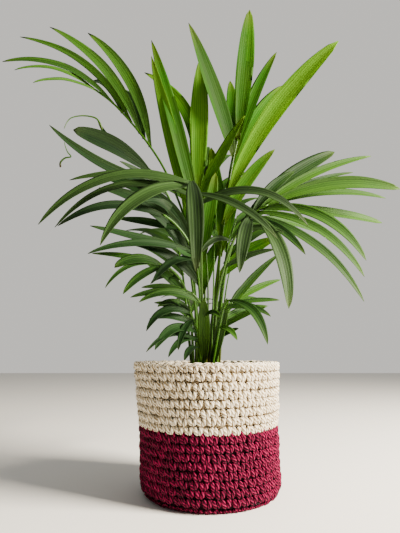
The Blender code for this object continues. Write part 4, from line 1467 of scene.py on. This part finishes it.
@dataclass
class Foliage:
    """All the fronds, the thin stalks among them, and two thin strands that curl out on the left."""

    thin_radius: float = 0.0014
    curl_radius: float = 0.0013
    hook_radius: float = 0.0011
    stalk_green: StalkFinish = StalkFinish("green_stalk", "38280f", "385a10", "386210")
    stalk_brown: StalkFinish = StalkFinish("sheathed_stalk", "2e2010", "484c14", "345610")

    def strand(self, name: str, points: list[Point], radius: float, finish: bpy.types.Material,
               node: str, tone: Tone) -> None:
        """Builds one thin strand or stalk, which tapers upwards.

        Args:
            name: The piece's name.
            points: The points that it passes through.
            radius: Its radius near the foot.
            finish: Its material.
            node: The frond that it belongs to.
            tone: That frond's green; not used.
        """
        work = start_mesh("stalk")
        add_tube(work, smooth_route(points), lambda s: radius * (1.1 - 0.8 * s), around=6, rings=40)
        make_piece(name, work, finish, node)

    def build(self) -> None:
        """Builds every frond."""
        leaves = {tone: finish.build() for tone, finish in LEAF_FINISHES.items()}
        green = self.stalk_green.build()
        brown = self.stalk_brown.build()
        self.strand("curling_strand", CURL, self.curl_radius, brown, "frond_shaded_left", Tone.DARK)
        self.strand("hooked_strand", HOOK, self.hook_radius, green, "frond_shaded_left", Tone.DARK)
        for number, points in enumerate(THIN_STALKS, 1):
            self.strand(f"thin_stalk_{number}", points, self.thin_radius,
                        brown if number % 2 else green, "frond_upright_right", Tone.BRIGHT)
        for number, frond in enumerate(front_fronds() + back_fronds()):
            frond.blades(leaves[frond.tone])
            frond.stem(brown if number % 3 == 1 else green)


@dataclass
class Studio:
    """The camera at the photograph's viewing angle, a plain pale floor and soft light.

    The surroundings are brighter the further a direction lies along glow_way: glow_strengths are
    their strengths at the two ends of glow_reach.
    """

    camera_place: Point = (-0.007, -0.464, 0.151)
    focal_px: float = 415.0
    frame_px: tuple[int, int] = (400, 533)
    horizon_px: float = 355.0
    sensor_mm: float = 36.0
    floor_size: float = 6.0
    aim: Point = (0.0, 0.0, 0.2)
    glow_way: Point = (0.24, 0.34, 0.10)
    glow_reach: Pair = (-0.22, 0.34)
    glow_strengths: Pair = (0.05, 0.80)
    backdrop_strength: float = 0.80
    backdrop: str = "f3f0ea"
    floor: FloorFinish = FloorFinish()

    def camera(self) -> None:
        """Sets a level camera, with its horizon shifted to the photograph's."""
        data = bpy.data.cameras.new("front_camera")
        data.sensor_width = self.sensor_mm
        data.lens = self.focal_px * self.sensor_mm / self.frame_px[1]
        data.shift_y = (self.horizon_px - self.frame_px[1] / 2) / self.frame_px[1]
        data.clip_start = 0.01
        made = bpy.data.objects.new("front_camera", data)
        made.location = self.camera_place
        made.rotation_euler = (math.pi / 2, 0.0, 0.0)
        bpy.context.scene.collection.objects.link(made)
        bpy.context.scene.camera = made

    def area_light(self, name: str, place: Point, size: float, power: float, colour: str) -> None:
        """Adds a square soft light that faces the plant.

        Args:
            name: The light's name.
            place: Where it stands.
            size: Its side.
            power: Its power in watts.
            colour: Its sRGB hex colour.
        """
        data = bpy.data.lights.new(name, "AREA")
        data.size = size
        data.energy = power
        data.color = srgb(colour)[:3]
        made = bpy.data.objects.new(name, data)
        made.location = place
        aim = Vector(self.aim) - Vector(place)
        made.rotation_euler = aim.to_track_quat("-Z", "Y").to_euler()
        bpy.context.scene.collection.objects.link(made)

    def ground(self) -> None:
        """Builds the floor."""
        work = bmesh.new()
        bmesh.ops.create_grid(work, x_segments=1, y_segments=1, size=self.floor_size / 2)
        mesh = bpy.data.meshes.new("floor")
        work.to_mesh(mesh)
        work.free()
        mesh.materials.append(self.floor.build())
        floor = bpy.data.objects.new("floor", mesh)
        bpy.context.scene.collection.objects.link(floor)

    def surroundings(self) -> None:
        """Lights the plant from all round, strongest from behind it and from its right."""
        world = bpy.data.worlds.new("pale_room")
        world.use_nodes = True
        tree = world.node_tree
        way = add_node(tree, "TexCoord").outputs["Generated"]
        side = add_node(tree, "VectorMath", {0: way, 1: self.glow_way}, operation="DOT_PRODUCT")
        glow = add_node(tree, "MapRange", {
            "Value": side.outputs["Value"],
            "From Min": self.glow_reach[0], "From Max": self.glow_reach[1],
            "To Min": self.glow_strengths[0], "To Max": self.glow_strengths[1]})
        # The camera itself sees one plain tone. These are a Mix node's factor, A and B.
        seen = add_node(tree, "LightPath").outputs["Is Camera Ray"]
        strength = add_node(tree, "Mix", {0: seen, 2: glow, 3: self.backdrop_strength})
        feed(tree.nodes["Background"], {"Color": srgb(self.backdrop), "Strength": strength})
        bpy.context.scene.world = world

    def build(self) -> None:
        """Builds the floor and all the lights."""
        self.ground()
        self.surroundings()
        self.area_light("key_light", (1.16, -0.45, 0.84), size=0.5, power=120.0, colour="fff4e2")
        self.area_light("soft_fill", (-1.1, -1.0, 0.9), size=1.2, power=0.5, colour="e4ecff")


def main() -> None:
    """Builds the studio and the plant."""
    logging.basicConfig(level=logging.INFO, format="%(message)s")
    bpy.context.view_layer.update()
    studio = Studio()
    studio.camera()
    Basket().build()
    NurseryPot().build()
    Soil().build()
    Foliage().build()
    studio.build()


if __name__ == "__main__":
    main()
